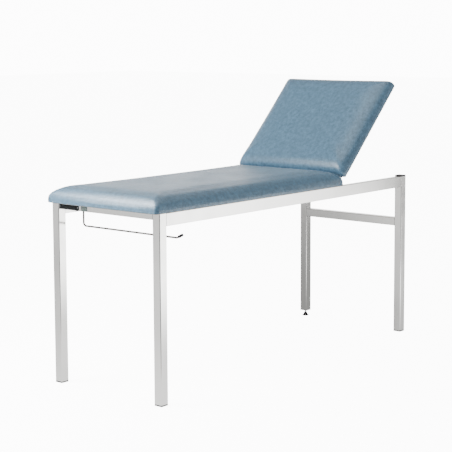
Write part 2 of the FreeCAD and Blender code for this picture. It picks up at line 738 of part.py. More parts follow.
def hinge_pin(side):
    """Pivot pin from the back of the plate to its head inboard of the arm."""
    inwards = ACROSS * -side
    grip = 2 * size.plate_thickness + 2 * size.layer_gap
    start = Vector(0, 0, 0)
    shank = peg(size.pivot_radius, start, inwards, grip)
    head = peg(size.pivot_head, start + inwards * grip, inwards, size.pin_head_thickness)
    item = loose("hinge_pin_" + SIDE_NAMES[side], shank.fuse(head))
    return place(item, pivot_x, layer_y(side, 0), pivot_z)


def pawl_rest_turn():
    """How far the drawn pawl is turned away from its engaged place, in degrees."""
    lift = size.tooth_tip + size.crest_clearance - engaged_tip_radius()
    return math.degrees(lift / size.pawl_reach)


def pawl(side):
    """Pawl with a hooked nose for the teeth and a tail that holds the release bar."""
    name = "pawl_" + SIDE_NAMES[side]
    body = new_body(name)
    sketch = new_sketch(body, name + "_outline", "XZ_Plane")
    pin_x, pin_z = pawl_pivot()

    def from_pin(point):
        return (point[0] - pin_x, point[1] - pin_z)

    nose_turn = size.pawl_angle
    tip = from_pin(polar(engaged_tip_radius(), nose_turn))
    heel = from_pin(polar(engaged_tip_radius() + size.pawl_nose, nose_turn))
    throat_radius = size.tooth_tip + 3 * size.crest_clearance
    throat = from_pin(polar(throat_radius, nose_turn - 1.1 * tooth_pitch))
    towards_tip = math.degrees(math.atan2(tip[1], tip[0]))
    over = polar(size.pawl_hub, towards_tip + 62)
    tail = polar(size.release_reach, size.release_slope)
    tail_over = (tail[0], tail[1] + size.tail_radius)
    tail_under = (tail[0], tail[1] - size.tail_radius)
    tail_end = (tail[0] - size.tail_radius, tail[1])
    crown = polar(size.pawl_hub, 90)
    elbow = polar(size.pawl_hub, 240)
    add_outline(
        sketch, tip, throat, over, (polar(size.pawl_hub, (towards_tip + 152) / 2), crown),
        tail_over, (tail_end, tail_under), elbow, heel, tip,
    )
    add_circle(sketch, 0, 0, "sizes.pawl_pin_radius + sizes.swivel_clearance")
    add_circle(sketch, *tail, "sizes.release_radius + sizes.swivel_clearance")
    inboard_pad(body, sketch, "sizes.plate_thickness", side)
    turned = Rotation(ACROSS, pawl_rest_turn())
    return place(body, pivot_x + pin_x, layer_y(side, 1), pivot_z + pin_z, turned)


def pawl_pin(side):
    """Pawl pin, long enough for the spring inboard of the pawl."""
    inwards = ACROSS * -side
    grip = layer_y(FAR, 0) - layer_y(FAR, 1) + size.plate_thickness
    grip += 2 * size.spring_play + size.spring_width
    shank = peg(size.pawl_pin_radius, Vector(0, 0, 0), inwards, grip)
    head = peg(size.pawl_pin_head, inwards * grip, inwards, size.pin_head_thickness)
    pin_x, pin_z = pawl_pivot()
    item = loose("pawl_pin_" + SIDE_NAMES[side], shank.fuse(head))
    return place(item, pivot_x + pin_x, layer_y(side, 0), pivot_z + pin_z)


def pawl_spring(side):
    """Strip spring bent round the pawl pin: one leg on the release bar, one to the board."""
    inner = size.pawl_pin_radius + size.spring_play
    outer = inner + size.spring_thickness
    upper = size.spring_slope
    # The lower leg leaves the pin's underside and just touches the top of the release bar.
    touch = (outer + size.release_radius) / size.release_reach
    bar_direction = size.release_slope - pawl_rest_turn()
    lower = 180 - bar_direction + math.degrees(math.asin(touch))
    length = size.release_reach + size.release_radius

    def leg_end(radius, normal, slope, reach):
        foot, run = polar(radius, normal), polar(reach, slope)
        return (foot[0] + run[0], foot[1] + run[1])

    start, finish = 90 - upper, 270 - lower
    name = "pawl_spring_" + SIDE_NAMES[side]
    body = new_body(name)
    sketch = new_sketch(body, name + "_outline", "XZ_Plane")
    add_outline(
        sketch, leg_end(outer, start, 180 - upper, size.spring_leg), polar(outer, start),
        (polar(outer, (start + finish - 360) / 2), polar(outer, finish)),
        leg_end(outer, finish, 180 - lower, length), leg_end(inner, finish, 180 - lower, length),
        polar(inner, finish), (polar(inner, (start + finish - 360) / 2), polar(inner, start)),
        leg_end(inner, start, 180 - upper, size.spring_leg),
        leg_end(outer, start, 180 - upper, size.spring_leg),
    )
    inboard_pad(body, sketch, "sizes.spring_width", side)
    pin_x, pin_z = pawl_pivot()
    y = layer_y(side, 1) - side * (size.plate_thickness + size.spring_play)
    return place(body, pivot_x + pin_x, y, pivot_z + pin_z)


def release_bar():
    """Round bar that joins both pawls' tails, so one hand frees both hinges."""
    body = new_body("release_bar")
    sketch = new_sketch(body, "release_bar_section")
    add_circle(sketch, 0, 0, "sizes.release_radius")
    span = ("sizes.frame_width - 2 * sizes.rail_thickness"
            " - 2 * sizes.plate_thickness - 2 * sizes.layer_gap")
    pad(body, sketch, span, "release_bar_pad")
    pin_x, pin_z = pawl_pivot()
    tail = polar(size.release_reach, size.release_slope - pawl_rest_turn())
    start = layer_y(NEAR, 1)
    return place(body, pivot_x + pin_x + tail[0], start, pivot_z + pin_z + tail[1], LYING_ACROSS)


def plate_bolts():
    """Bolts through the hinge plates into the rails' inner walls."""
    solids = []
    for side in (NEAR, FAR):
        outwards = ACROSS * side
        for x, z in plate_bolt_places():
            seat = Vector(pivot_x + x, layer_y(side, 0), pivot_z + z)
            seat -= outwards * size.plate_thickness
            solids.append(hexagon_bolt(size.bolt_radius, size.bolt_flats, seat, outwards,
                                       size.plate_thickness, size.bolt_head_height))
    return loose("plate_bolts", Part.makeCompound(solids))


# Couch-roll holder on the far side rail


def rod_axis():
    return (foot_face + size.rod_from_foot, rail_inner - size.rod_standoff)


def lug_levels():
    """Undersides of the bracket's upper and lower lugs, from the bracket's bottom."""
    return [size.bracket_height - size.lug_drop - size.bracket_sheet, 0]


def rod_bracket():
    """Bent steel bracket: a base on the rail and two rounded lugs for the rod."""
    body = new_body("rod_bracket")
    base = new_sketch(body, "bracket_base", "XZ_Plane")
    half = size.bracket_width / 2
    height = size.bracket_height
    add_outline(base, (-half, 0), (half, 0), (half, height), (-half, height), (-half, 0))
    for point in bracket_screw_places():
        add_circle(base, *point, "sizes.bolt_radius + sizes.hole_clearance")
    pad(body, base, "sizes.bracket_sheet", "bracket_base_pad")
    reach = size.rod_standoff
    lug = size.lug_radius
    for index, level in enumerate(lug_levels()):
        sketch = new_sketch(body, f"bracket_lug_{index + 1}", offset=level)
        add_outline(sketch, (-half, 0), (-half, -size.bracket_sheet), (-lug, -reach),
                    ((0, -reach - lug), (lug, -reach)), (half, -size.bracket_sheet), (half, 0),
                    (-half, 0))
        add_circle(sketch, 0, -reach, "sizes.rod_radius + sizes.swivel_clearance")
        pad(body, sketch, "sizes.bracket_sheet", f"bracket_lug_pad_{index + 1}")
    x, _ = rod_axis()
    return place(body, x, rail_inner, bracket_bottom)


def bracket_screw_places():
    """Two bolts side by side between the lugs."""
    half = size.bracket_width / 2
    upper, lower = lug_levels()
    middle = (upper + lower + size.bracket_sheet) / 2
    aside = half - size.bolt_flats / 2 - size.bracket_sheet / 2
    return [(-aside, middle), (aside, middle)]


def bracket_screws():
    solids = []
    x, _ = rod_axis()
    for aside, level in bracket_screw_places():
        seat = Vector(x + aside, rail_inner - size.bracket_sheet, bracket_bottom + level)
        solids.append(hexagon_bolt(size.bolt_radius, size.bolt_flats, seat, ACROSS,
                                   size.bracket_sheet, size.bolt_head_height))
    return loose("bracket_screws", Part.makeCompound(solids))


def rod_path_points():
    """Rod's middle line in its own upright plane, from its upper end to its tip."""
    top = size.leg_top - size.rod_top_gap - rod_level
    bend = size.rod_bend
    near = pad_width / 2 - size.rod_corner_from_edge + rod_axis()[1]
    tip_turn = math.radians(size.rod_tip_angle)
    back = size.rod_tip_bend * math.tan(tip_turn / 2)
    end = (near + size.rod_tip_length * math.cos(tip_turn),
           size.rod_tip_length * math.sin(tip_turn))
    return SimpleNamespace(top=top, bend=bend, near=near, back=back, turn=tip_turn, end=end)


def roll_rod():
    """Bent rod: down through the bracket, across the couch and up again at its free end."""
    run = rod_path_points()
    body = new_body("roll_rod")
    path = new_sketch(body, "rod_path", "YZ_Plane")
    bend = run.bend
    slack = bend * (1 - math.sqrt(0.5))
    radius = size.rod_tip_bend
    half_turn = run.turn / 2
    arc_start = Vector(-(run.near - run.back), 0, 0)
    arc_middle = arc_start + Vector(-radius * math.sin(half_turn),
                                    radius * (1 - math.cos(half_turn)), 0)
    arc_end = arc_start + Vector(-radius * math.sin(run.turn),
                                 radius * (1 - math.cos(run.turn)), 0)
    corner_start = Vector(0, bend, 0)
    corner_end = Vector(-bend, 0, 0)
    corner_middle = Vector(-slack, slack, 0)
    path.addGeometry(Part.LineSegment(Vector(0, run.top, 0), corner_start), False)
    path.addGeometry(Part.Arc(corner_start, corner_middle, corner_end), False)
    path.addGeometry(Part.LineSegment(corner_end, arc_start), False)
    path.addGeometry(Part.Arc(arc_start, arc_middle, arc_end), False)
    path.addGeometry(Part.LineSegment(arc_end, Vector(-run.end[0], run.end[1], 0)), False)
    section = new_sketch(body, "rod_section", offset=run.top)
    add_circle(section, 0, 0, "sizes.rod_radius")
    sweep = body.newObject("PartDesign::AdditivePipe", "rod_sweep")
    sweep.Profile = section
    sweep.Spine = path
    section.Visibility = False
    path.Visibility = False
    x, y = rod_axis()
    return place(body, x, y, rod_level)


def rod_retainer():
    """Push-on retainer that rests on the upper lug and carries the rod."""
    body = new_body("rod_retainer")
    sketch = new_sketch(body, "retainer_section")
    add_circle(sketch, 0, 0, "sizes.retainer_radius")
    add_circle(sketch, 0, 0, "sizes.rod_radius + sizes.swivel_clearance")
    pad(body, sketch, "sizes.retainer_height", "retainer_pad")
    x, y = rod_axis()
    level = bracket_bottom + lug_levels()[0] + size.bracket_sheet
    return place(body, x, y, level)


def rod_tip_cap():
    """Soft cap pushed over the rod's raised end."""
    body = new_body("rod_tip_cap")
    sketch = new_sketch(body, "tip_cap_section", "XZ_Plane")
    bore = size.rod_radius + size.swivel_clearance
    outer = size.tip_cap_radius
    cover = size.tip_cap_cover
    add_outline(
        sketch, (bore, 0), (outer, 0), (outer, size.tip_cap_length),
        (0, size.tip_cap_length), (0, cover), (bore, cover), (bore, 0),
    )
    revolve(body, sketch, "tip_cap_revolution")
    run = rod_path_points()
    x, y = rod_axis()
    slope = Vector(0, -math.cos(run.turn), math.sin(run.turn))
    end = Vector(x, y - run.end[0], rod_level + run.end[1])
    start = end - slope * size.tip_cap_cover
    return place(body, start.x, start.y, start.z, Rotation(UP, slope))


# Blank plates on the foot cross rail


def blank_plate_spans():
    """Both plates' ends across the couch, from the far leg inwards."""
    far = between_legs / 2 - size.long_plate_edge
    middle = far - size.long_plate_width
    start = middle - size.short_plate_gap
    return {"long_blank_plate": (middle, far),
            "short_blank_plate": (start - size.short_plate_width, start)}


def blank_plate(name):
    """Thin plate without any marking."""
    low, high = blank_plate_spans()[name]
    body = new_body(name)
    sketch = new_sketch(body, name + "_outline", "YZ_Plane")
    width = "long_plate_width" if name.startswith("long") else "short_plate_width"
    add_rectangle(sketch, f"sizes.{width}", "sizes.cross_side - 2 * sizes.blank_plate_margin")
    pad(body, sketch, "sizes.blank_plate_thickness", name + "_pad", reverse=True)
    return place(body, foot_face, (low + high) / 2, size.leg_top - size.cross_side / 2)


def plate_rivets():
    """Heads of the rivets at both ends of each plate."""
    solids = []
    for low, high in blank_plate_spans().values():
        for y in (low + size.rivet_margin, high - size.rivet_margin):
            face = Vector(foot_face - size.blank_plate_thickness, y,
                          size.leg_top - size.cross_side / 2)
            solids.append(peg(size.rivet_radius, face, -ALONG, size.rivet_rise))
    return loose("plate_rivets", Part.makeCompound(solids))


leg("leg_foot_near", foot_leg_x, -leg_y, "glide_head")
leg("leg_foot_far", foot_leg_x, leg_y, "glide_head")
leg("leg_head_near", head_leg_x, -leg_y, "glide_head")
leg("leg_head_far", head_leg_x, leg_y, "leveller_gap")
side_rail(NEAR)
side_rail(FAR)
foot_cross_rail()
head_cross_rail()
middle_cross_rail()
floor_glide("glide_foot_near", foot_leg_x, -leg_y)
floor_glide("glide_foot_far", foot_leg_x, leg_y)
floor_glide("glide_head_near", head_leg_x, -leg_y)
leg_cap("cap_head_near", -leg_y)
leg_cap("cap_head_far", leg_y)
leveller_insert()
leveller_spindle()
leveller_foot()
body_board()
body_pad()
board_screws()
head_board()
head_pad()
arm_screws()
for side in (NEAR, FAR):
    hinge_plate(side)
    hinge_arm(side)
    hinge_pin(side)
    pawl(side)
    pawl_pin(side)
    pawl_spring(side)
release_bar()
plate_bolts()
rod_bracket()
bracket_screws()
roll_rod()
rod_retainer()
rod_tip_cap()
blank_plate("long_blank_plate")
blank_plate("short_blank_plate")
plate_rivets()

doc.recompute()
for item in doc.Objects:
    if {"Invalid", "Error"} & set(item.State):
        raise RuntimeError(f"{item.Name} failed: {item.State}")
for item in parts:
    if item.Shape.isNull() or not item.Shape.isValid():
        raise RuntimeError(f"{item.Label} has no valid shape")

os.makedirs("parts", exist_ok=True)
for item in parts:
    item.Shape.exportStep(os.path.join("parts", item.Label + ".step"))
print("pivot", round(pivot_x, 3), round(pivot_z, 3), "pitch", round(tooth_pitch, 4))
print("pawl pin", [round(v, 3) for v in pawl_pivot()], "rest turn", round(pawl_rest_turn(), 3))
print("sub-parts", len(parts))
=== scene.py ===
import json
import math

import bmesh
import bpy
from bpy.props import FloatProperty, FloatVectorProperty, IntProperty, PointerProperty
from mathutils import Matrix, Vector, noise


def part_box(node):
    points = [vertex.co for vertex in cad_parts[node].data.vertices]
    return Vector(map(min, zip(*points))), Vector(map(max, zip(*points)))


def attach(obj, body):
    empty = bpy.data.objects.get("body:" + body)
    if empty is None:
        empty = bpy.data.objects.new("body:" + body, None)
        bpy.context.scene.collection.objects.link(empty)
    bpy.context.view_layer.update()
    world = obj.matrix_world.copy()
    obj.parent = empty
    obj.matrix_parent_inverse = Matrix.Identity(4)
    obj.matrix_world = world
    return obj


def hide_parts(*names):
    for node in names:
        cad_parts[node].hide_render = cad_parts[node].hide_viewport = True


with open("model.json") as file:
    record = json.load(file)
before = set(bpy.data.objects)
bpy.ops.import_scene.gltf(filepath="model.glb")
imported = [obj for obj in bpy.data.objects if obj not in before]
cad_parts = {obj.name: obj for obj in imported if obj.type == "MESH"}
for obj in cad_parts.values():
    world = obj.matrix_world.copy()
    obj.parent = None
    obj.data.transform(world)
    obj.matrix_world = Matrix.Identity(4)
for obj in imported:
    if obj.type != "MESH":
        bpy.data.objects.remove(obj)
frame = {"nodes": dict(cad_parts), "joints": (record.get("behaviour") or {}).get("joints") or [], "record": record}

bl_info = {
    "name": "Examination couch",
    "version": (1, 0, 0),
    "blender": (4, 5, 0),
    "location": "3D View > Sidebar > Couch",
    "description": "Padded cushions, fasteners, finishes and studio for a two-section couch",
    "category": "Object",
}

NEAR, FAR = -1, 1
STEEP_LEAN, SLIGHT_LEAN = math.radians(70), math.radians(15)

# Lengths that count as none, as the same place and as the same end, in metres.
TINY, SAME, SLACK = 1e-6, 1e-5, 1e-4
FACING = 0.9  # share of a normal along the axis that its face looks along

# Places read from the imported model, in metres.
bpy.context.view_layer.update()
BODY_LOW, BODY_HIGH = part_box("body_pad")
BOARD_LOW, BOARD_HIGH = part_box("body_board")
PIVOT = Vector(next(joint["pos_m"] for joint in frame["joints"]
                    if joint["name"] == "head_tilt"))
HEAD_RAISED = Matrix.Rotation(math.radians(-45), 4, "Y")
TO_HEAD = Matrix.Translation(PIVOT) @ HEAD_RAISED


def in_head(point):
    """A place of the raised head section, drawn back to where it lies flat from the pivot."""
    return HEAD_RAISED.inverted() @ (Vector(point) - PIVOT)


def flat_box(node):
    """Box of a head section's node in the head section's own frame."""
    points = [in_head(vertex.co) for vertex in frame["nodes"][node].data.vertices]
    return (Vector(map(min, *points)), Vector(map(max, *points)))


HEAD_LOW, HEAD_HIGH = flat_box("head_pad")
HEAD_BOARD_LOW, HEAD_BOARD_HIGH = flat_box("head_board")


# Ways of working in edit mode.

def start():
    """Object mode with nothing selected."""
    if bpy.context.object and bpy.context.object.mode != "OBJECT":
        bpy.ops.object.mode_set(mode="OBJECT")
    bpy.ops.object.select_all(action="DESELECT")


def finish_piece(name):
    """Place goes into the mesh, and the piece gets its name."""
    piece = bpy.context.object
    bpy.ops.object.transform_apply(location=True, rotation=True, scale=True)
    piece.name = piece.data.name = name
    return piece


def only(piece):
    start()
    piece.select_set(True)
    bpy.context.view_layer.objects.active = piece


def block(name, low, high):
    """Box between two corners, as the start of a piece."""
    start()
    low, high = Vector(low), Vector(high)
    bpy.ops.mesh.primitive_cube_add(size=1, location=(low + high) / 2)
    bpy.context.object.scale = high - low
    return finish_piece(name)


def drum(name, radius, centre, depth, sides=32):
    """Upright cylinder standing on its centre point, as the start of a piece."""
    start()
    bpy.ops.mesh.primitive_cylinder_add(vertices=sides, radius=radius, depth=depth,
                                        location=Vector(centre) + Vector((0, 0, depth / 2)))
    return finish_piece(name)


def pick(piece, kind, test):
    """Selects in edit mode the faces or edges that the test accepts."""
    only(piece)
    bpy.ops.object.mode_set(mode="EDIT")
    bpy.ops.mesh.select_mode(type=kind)
    bpy.ops.mesh.select_all(action="DESELECT")
    mesh = bmesh.from_edit_mesh(piece.data)
    for item in mesh.faces if kind == "FACE" else mesh.edges:
        if test(item):
            item.select_set(True)
    bmesh.update_edit_mesh(piece.data)


def leave():
    bpy.ops.object.mode_set(mode="OBJECT")


def any_face(face):
    return True


def top_face(height):
    return lambda face: (face.normal.z > FACING
                         and abs(face.calc_center_median().z - height) < SAME)


def level_edge(height, slack=SAME):
    return lambda edge: all(abs(vertex.co.z - height) < slack for vertex in edge.verts)


def runs_along(edge, axis):
    along = edge.verts[0].co - edge.verts[1].co
    return abs(along[axis]) > 0.99 * along.length


def upright_edge(edge):
    return runs_along(edge, 2)


def round_edges(piece, test, width, segments):
    """Bevels the edges that the test accepts."""
    pick(piece, "EDGE", test)
    bpy.ops.mesh.bevel(offset=width, segments=segments, profile=0.5, affect="EDGES")
    leave()


def add_modifier(piece, kind, **settings):
    only(piece)
    bpy.ops.object.modifier_add(type=kind)
    modifier = piece.modifiers[-1]
    for key, value in settings.items():
        setattr(modifier, key, value)
    return modifier


def apply_modifier(piece, modifier):
    only(piece)
    bpy.ops.object.modifier_apply(modifier=modifier.name)


def modify(piece, kind, **settings):
    apply_modifier(piece, add_modifier(piece, kind, **settings))


def smooth(piece, angle=35):
    only(piece)
    bpy.ops.object.shade_smooth_by_angle(angle=math.radians(angle))


def copy_to(piece, name, matrix):
    """Copy with its own mesh, moved by the matrix and left at the origin."""
    only(piece)
    bpy.ops.object.duplicate(linked=False)
    twin = bpy.context.object
    twin.data.transform(matrix)
    twin.name = twin.data.name = name
    return twin


def join(pieces, name):
    start()
    for piece in pieces:
        piece.select_set(True)
    bpy.context.view_layer.objects.active = pieces[0]
    bpy.ops.object.join()
    pieces[0].name = pieces[0].data.name = name
    return pieces[0]


def dress(piece, material, body):
    piece.data.materials.clear()
    piece.data.materials.append(material)
    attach(piece, body)


# Shader nodes.

class Shader:
    """A node tree, with short ways to add nodes that work on the object's own place."""

    def __init__(self, tree, place):
        self.tree, self.place = tree, place

    def feed(self, sockets, given):
        """Links other nodes' outputs to named sockets, or sets them to plain values."""
        for label, value in given.items():
            socket = sockets[label if isinstance(label, int) else label.replace("_", " ")]
            if hasattr(value, "links"):
                self.tree.links.new(value, socket)
            else:
                socket.default_value = value

    def node(self, kind, **given):
        made = self.tree.nodes.new("ShaderNode" + kind)
        self.feed(made.inputs, given)
        return made

    def noise(self, scale, detail=3, roughness=0.5, stretch=None):
        """Noise of a scale per metre on object coordinates."""
        place = self.place
        if stretch:
            place = self.node("Mapping", Vector=place, Scale=stretch).outputs["Vector"]
        return self.node("TexNoise", Vector=place, Scale=scale, Detail=detail,
                         Roughness=roughness).outputs["Fac"]

    def cells(self, scale, **options):
        made = self.node("TexVoronoi", Vector=self.place, Scale=scale)
        for option, value in options.items():
            setattr(made, option, value)
        return made.outputs

    def span(self, value, low, high, new_low=0, new_high=1, kind="LINEAR"):
        made = self.node("MapRange", Value=value, From_Min=low, From_Max=high, To_Min=new_low,
                         To_Max=new_high)
        made.interpolation_type = kind
        return made.outputs["Result"]

    def math(self, operation, first, second):
        made = self.node("Math")
        made.operation = operation
        self.feed(made.inputs, {0: first, 1: second})
        return made.outputs["Value"]

    def mix(self, share, first, second):
        """Mix of two colours, on the mix node's three colour sockets."""
        made = self.node("Mix")
        made.data_type = "RGBA"
        self.feed(made.inputs, {0: share, 6: first, 7: second})
        return made.outputs[2]

    def bump(self, height, strength, distance, **below):
        return self.node("Bump", Height=height, Strength=strength, Distance=distance,
                         **below).outputs["Normal"]

    def group(self, shared, **given):
        """A shared effect, at the object's own place."""
        made = self.node("Group")
        made.node_tree = shared()
        self.feed(made.inputs, {"Place": self.place, **given})
        return made.outputs

    def surface(self, **given):
        self.feed(self.tree.nodes["Principled BSDF"].inputs, given)


def colour(name):
    """Colour of a finish from the settings."""
    return getattr(bpy.context.scene.couch_finish, name)


def shade(rgb, factor):
    return (rgb[0] * factor, rgb[1] * factor, rgb[2] * factor, 1)


def shared_group(name, numbers, results):
    """A function that fills a node group, made into one that gives the group. The group takes
    a place and some numbers, and is made when it is first asked for."""
    def wrap(fill):
        def found():
            if name not in bpy.data.node_groups:
                tree = bpy.data.node_groups.new(name, "ShaderNodeTree")
                sockets = [("Place", "INPUT", "Vector"),
                           *((label, "INPUT", "Float") for label in numbers),
                           *((label, "OUTPUT", "Float") for label in results)]
                for label, way, kind in sockets:
                    socket = tree.interface.new_socket(label, in_out=way,
                                                       socket_type="NodeSocket" + kind)
                    if label in numbers:
                        socket.default_value = numbers[label]
                given = tree.nodes.new("NodeGroupInput").outputs
                shader = Shader(tree, given["Place"])
                shader.feed(tree.nodes.new("NodeGroupOutput").inputs, fill(shader, given))
            return bpy.data.node_groups[name]
        return found
    return wrap


def finish(fill):
    """A function that fills a material's nodes, made into one that gives the material of a
    name. The material is made when it is first asked for."""
    def found(name, *given, **options):
        if name not in bpy.data.materials:
            material = bpy.data.materials.new(name)
            material.use_nodes = True
            tree = material.node_tree
            place = tree.nodes.new("ShaderNodeTexCoord").outputs["Object"]
            fill(Shader(tree, place), *given, **options)
        return bpy.data.materials[name]
    return found


@shared_group("Handling marks", {"Base roughness": 0.15, "Smudge": 0.05, "Scratch": 0.05},
              ("Roughness", "Scratches"))
def handling_marks(shader, given):
    """Soft smudges and fine scratches that change how rough a metal looks."""
    clouds = shader.noise(14, detail=5, roughness=0.6)
    drawn = shader.noise(30, detail=2, stretch=(2, 2, 60))
    scratches = shader.span(drawn, 0.66, 0.72)
    total = given["Base roughness"]
    for marks, amount in ((shader.span(clouds, 0.4, 0.7), "Smudge"), (scratches, "Scratch")):
        total = shader.math("ADD", total, shader.math("MULTIPLY", marks, given[amount]))
    return {"Roughness": total, "Scratches": scratches}


@shared_group("Coated grain", {"Cells": 700.0}, ("Height", "Mottle", "Cloud"))
def coated_grain(shader, given):
    """Pebbled grain of coated fabric, with a mottle for its colour."""
    cells = shader.cells(given["Cells"], feature="DISTANCE_TO_EDGE")
    pebbles = shader.span(cells["Distance"], 0, 0.22)
    small = shader.noise(260, detail=4, roughness=0.7)
    wide = shader.noise(62, detail=4, roughness=0.6)
    both = shader.math("MULTIPLY", shader.math("ADD", small, wide), 0.5)
    return {"Height": shader.math("ADD", pebbles, shader.noise(900)),
            "Mottle": shader.span(both, 0.38, 0.62),
            "Cloud": shader.span(shader.noise(6), 0.35, 0.65)}


@finish
def vinyl_material(shader, base):
    """Coated fabric: pebbled, mottled at two sizes, and a little faded in places."""
    darkest, lightest, faded, most_faded = 0.68, 1.36, 0.86, 0.25
    grain = shader.group(coated_grain, Cells=620.0)
    cloud = grain["Cloud"]
    tone = shader.mix(grain["Mottle"], shade(base, darkest), shade(base, lightest))
    tone = shader.mix(shader.math("MULTIPLY", cloud, most_faded), tone, shade(base, faded))
    shader.surface(Base_Color=tone, Roughness=shader.span(cloud, 0, 1, 0.28, 0.36),
                   Specular_IOR_Level=0.7, Sheen_Weight=0.12, Sheen_Roughness=0.4,
                   Normal=shader.bump(grain["Height"], 0.35, 0.00025))


@finish
def metal_material(shader, rgb, roughness, smudge, scratch, uneven=0.0, tint=0.12,
                   metallic=1.0):
    """Plated or bare metal with handling marks, a cloudy tint and an uneven surface."""
    marks = shader.group(handling_marks, Base_roughness=roughness, Smudge=smudge,
                         Scratch=scratch)
    cloud = shader.noise(9, detail=4)
    tone = shader.mix(shader.span(cloud, 0.35, 0.65), shade(rgb, 1 - tint), shade(rgb, 1))
    normal = shader.bump(marks["Scratches"], 0.08, 0.00005)
    if uneven:
        normal = shader.bump(shader.noise(30, detail=2), uneven, 0.0004, Normal=normal)
    shader.surface(Base_Color=tone, Roughness=marks["Roughness"], Metallic=metallic,
                   Normal=normal)


@finish
def zinc_material(shader, rgb, roughness):
    """Zinc plating: small spangles of slightly different brightness."""
    spangles = shader.cells(420)
    level = shader.node("SeparateColor", Color=spangles["Color"]).outputs["Red"]
    marks = shader.group(handling_marks, Base_roughness=roughness, Smudge=0.12, Scratch=0.1)
    shader.surface(Base_Color=shader.mix(level, shade(rgb, 0.82), shade(rgb, 1.05)),
                   Roughness=marks["Roughness"], Metallic=1.0,
                   Normal=shader.bump(level, 0.06, 0.0001))


@finish
def plastic_material(shader, rgb, roughness):
    """Moulded plastic with a fine texture and some dust."""
    dust_colour, most_dust = (0.16, 0.155, 0.15, 1), 0.35
    dust = shader.noise(45, detail=6, roughness=0.7)
    tone = shader.mix(shader.span(dust, 0.45, 0.75, 0, most_dust), shade(rgb, 1), dust_colour)
    rough = shader.span(dust, 0.3, 0.7, roughness - 0.08, roughness + 0.12)
    shader.surface(Base_Color=tone, Roughness=rough,
                   Normal=shader.bump(shader.noise(1600, detail=2), 0.25, 0.0001))


@finish
def painted_material(shader, rgb, roughness, gloss=0.5):
    """Painted sheet with a cloudy tone and a slight orange peel."""
    cloud = shader.noise(60, detail=5, roughness=0.6)
    tone = shader.mix(shader.span(cloud, 0.35, 0.65), shade(rgb, 0.85), shade(rgb, 1.15))
    rough = shader.span(cloud, 0.3, 0.7, roughness - 0.06, roughness + 0.08)
    shader.surface(Base_Color=tone, Roughness=rough, Specular_IOR_Level=gloss,
                   Normal=shader.bump(shader.noise(500, detail=2), 0.12, 0.0001))


@finish
def plywood_material(shader, base):
    """Bare plywood: grain and fibres that run along the board."""
    dark_grain, light_grain, dark_fibre, most_fibre = 0.55, 1.15, 0.4, 0.6
    grain = shader.noise(9, detail=8, roughness=0.65, stretch=(1, 14, 14))
    fibre = shader.noise(40, detail=4, roughness=0.7, stretch=(1, 22, 22))
    tone = shader.mix(shader.span(grain, 0.38, 0.62), shade(base, dark_grain),
                      shade(base, light_grain))
    tone = shader.mix(shader.span(fibre, 0.5, 0.7, 0, most_fibre), tone,
                      shade(base, dark_fibre))
    shader.surface(Base_Color=tone, Roughness=shader.span(fibre, 0.3, 0.7, 0.62, 0.78),
                   Specular_IOR_Level=0.2, Normal=shader.bump(fibre, 0.2, 0.0003))


def vinyl():
    return vinyl_material("blue vinyl", colour("vinyl"))


def black_plastic():
    return plastic_material("black plastic", colour("plastic"), 0.42)


def chrome():
    return metal_material("plated tube", colour("chrome"), 0.11, smudge=0.05, scratch=0.05,
                          uneven=0.06, tint=0.05)


def zinc():
    return zinc_material("zinc plate", colour("zinc"), 0.32)


# Cushions.

def hill(value):
    """Smooth step between nought and one."""
    value = min(1.0, max(0.0, value))
    return value * value * (3 - 2 * value)


def from_hinge(x, hinge):
    """Nought by the hinge, where the two pads meet, and one a little way off."""
    calm, fade = 0.01, 0.09
    return hill((abs(x - hinge) - calm) / fade)


def grow(piece, pinned_below, hinge, reach, frames):
    """Presses the foam out by a cloth simulation, and caps how far each point moves: least at
    the hinge."""
    rest = [vertex.co.copy() for vertex in piece.data.vertices]
    held = piece.vertex_groups.new(name="held")
    low = [vertex.index for vertex in piece.data.vertices if vertex.co.z < pinned_below]
    held.add(low, 1.0, "REPLACE")
    cloth = add_modifier(piece, "CLOTH")
    for key, value in (("quality", 4), ("use_pressure", True), ("uniform_pressure_force", 4),
                       ("vertex_group_mass", "held")):
        setattr(cloth.settings, key, value)
    cloth.settings.effector_weights.gravity = 0
    cloth.point_cache.frame_start = 1
    cloth.point_cache.frame_end = frames
    for step in range(1, frames + 1):
        bpy.context.scene.frame_set(step)
    apply_modifier(piece, cloth)
    bpy.context.scene.frame_set(1)
    piece.vertex_groups.clear()
    least = 0.1
    for vertex, place in zip(piece.data.vertices, rest):
        moved = vertex.co - place
        most = reach * (least + (1 - least) * from_hinge(place.x, hinge))
        if moved.length > most:
            vertex.co = place + moved * (most / moved.length)


def side_push(place, middle, half, reach):
    """Level direction out of the cushion: square to a side, and fanning round a corner."""
    out = Vector((max(0, abs(place.x - middle.x) - (half.x - reach)),
                  max(0, abs(place.y - middle.y) - (half.y - reach)), 0))
    if out.length < TINY:
        return out, 0
    corner = math.atan2(out.y, out.x) / (math.pi / 2)
    out = Vector((math.copysign(out.x, place.x - middle.x),
                  math.copysign(out.y, place.y - middle.y), 0))
    return out.normalized(), corner


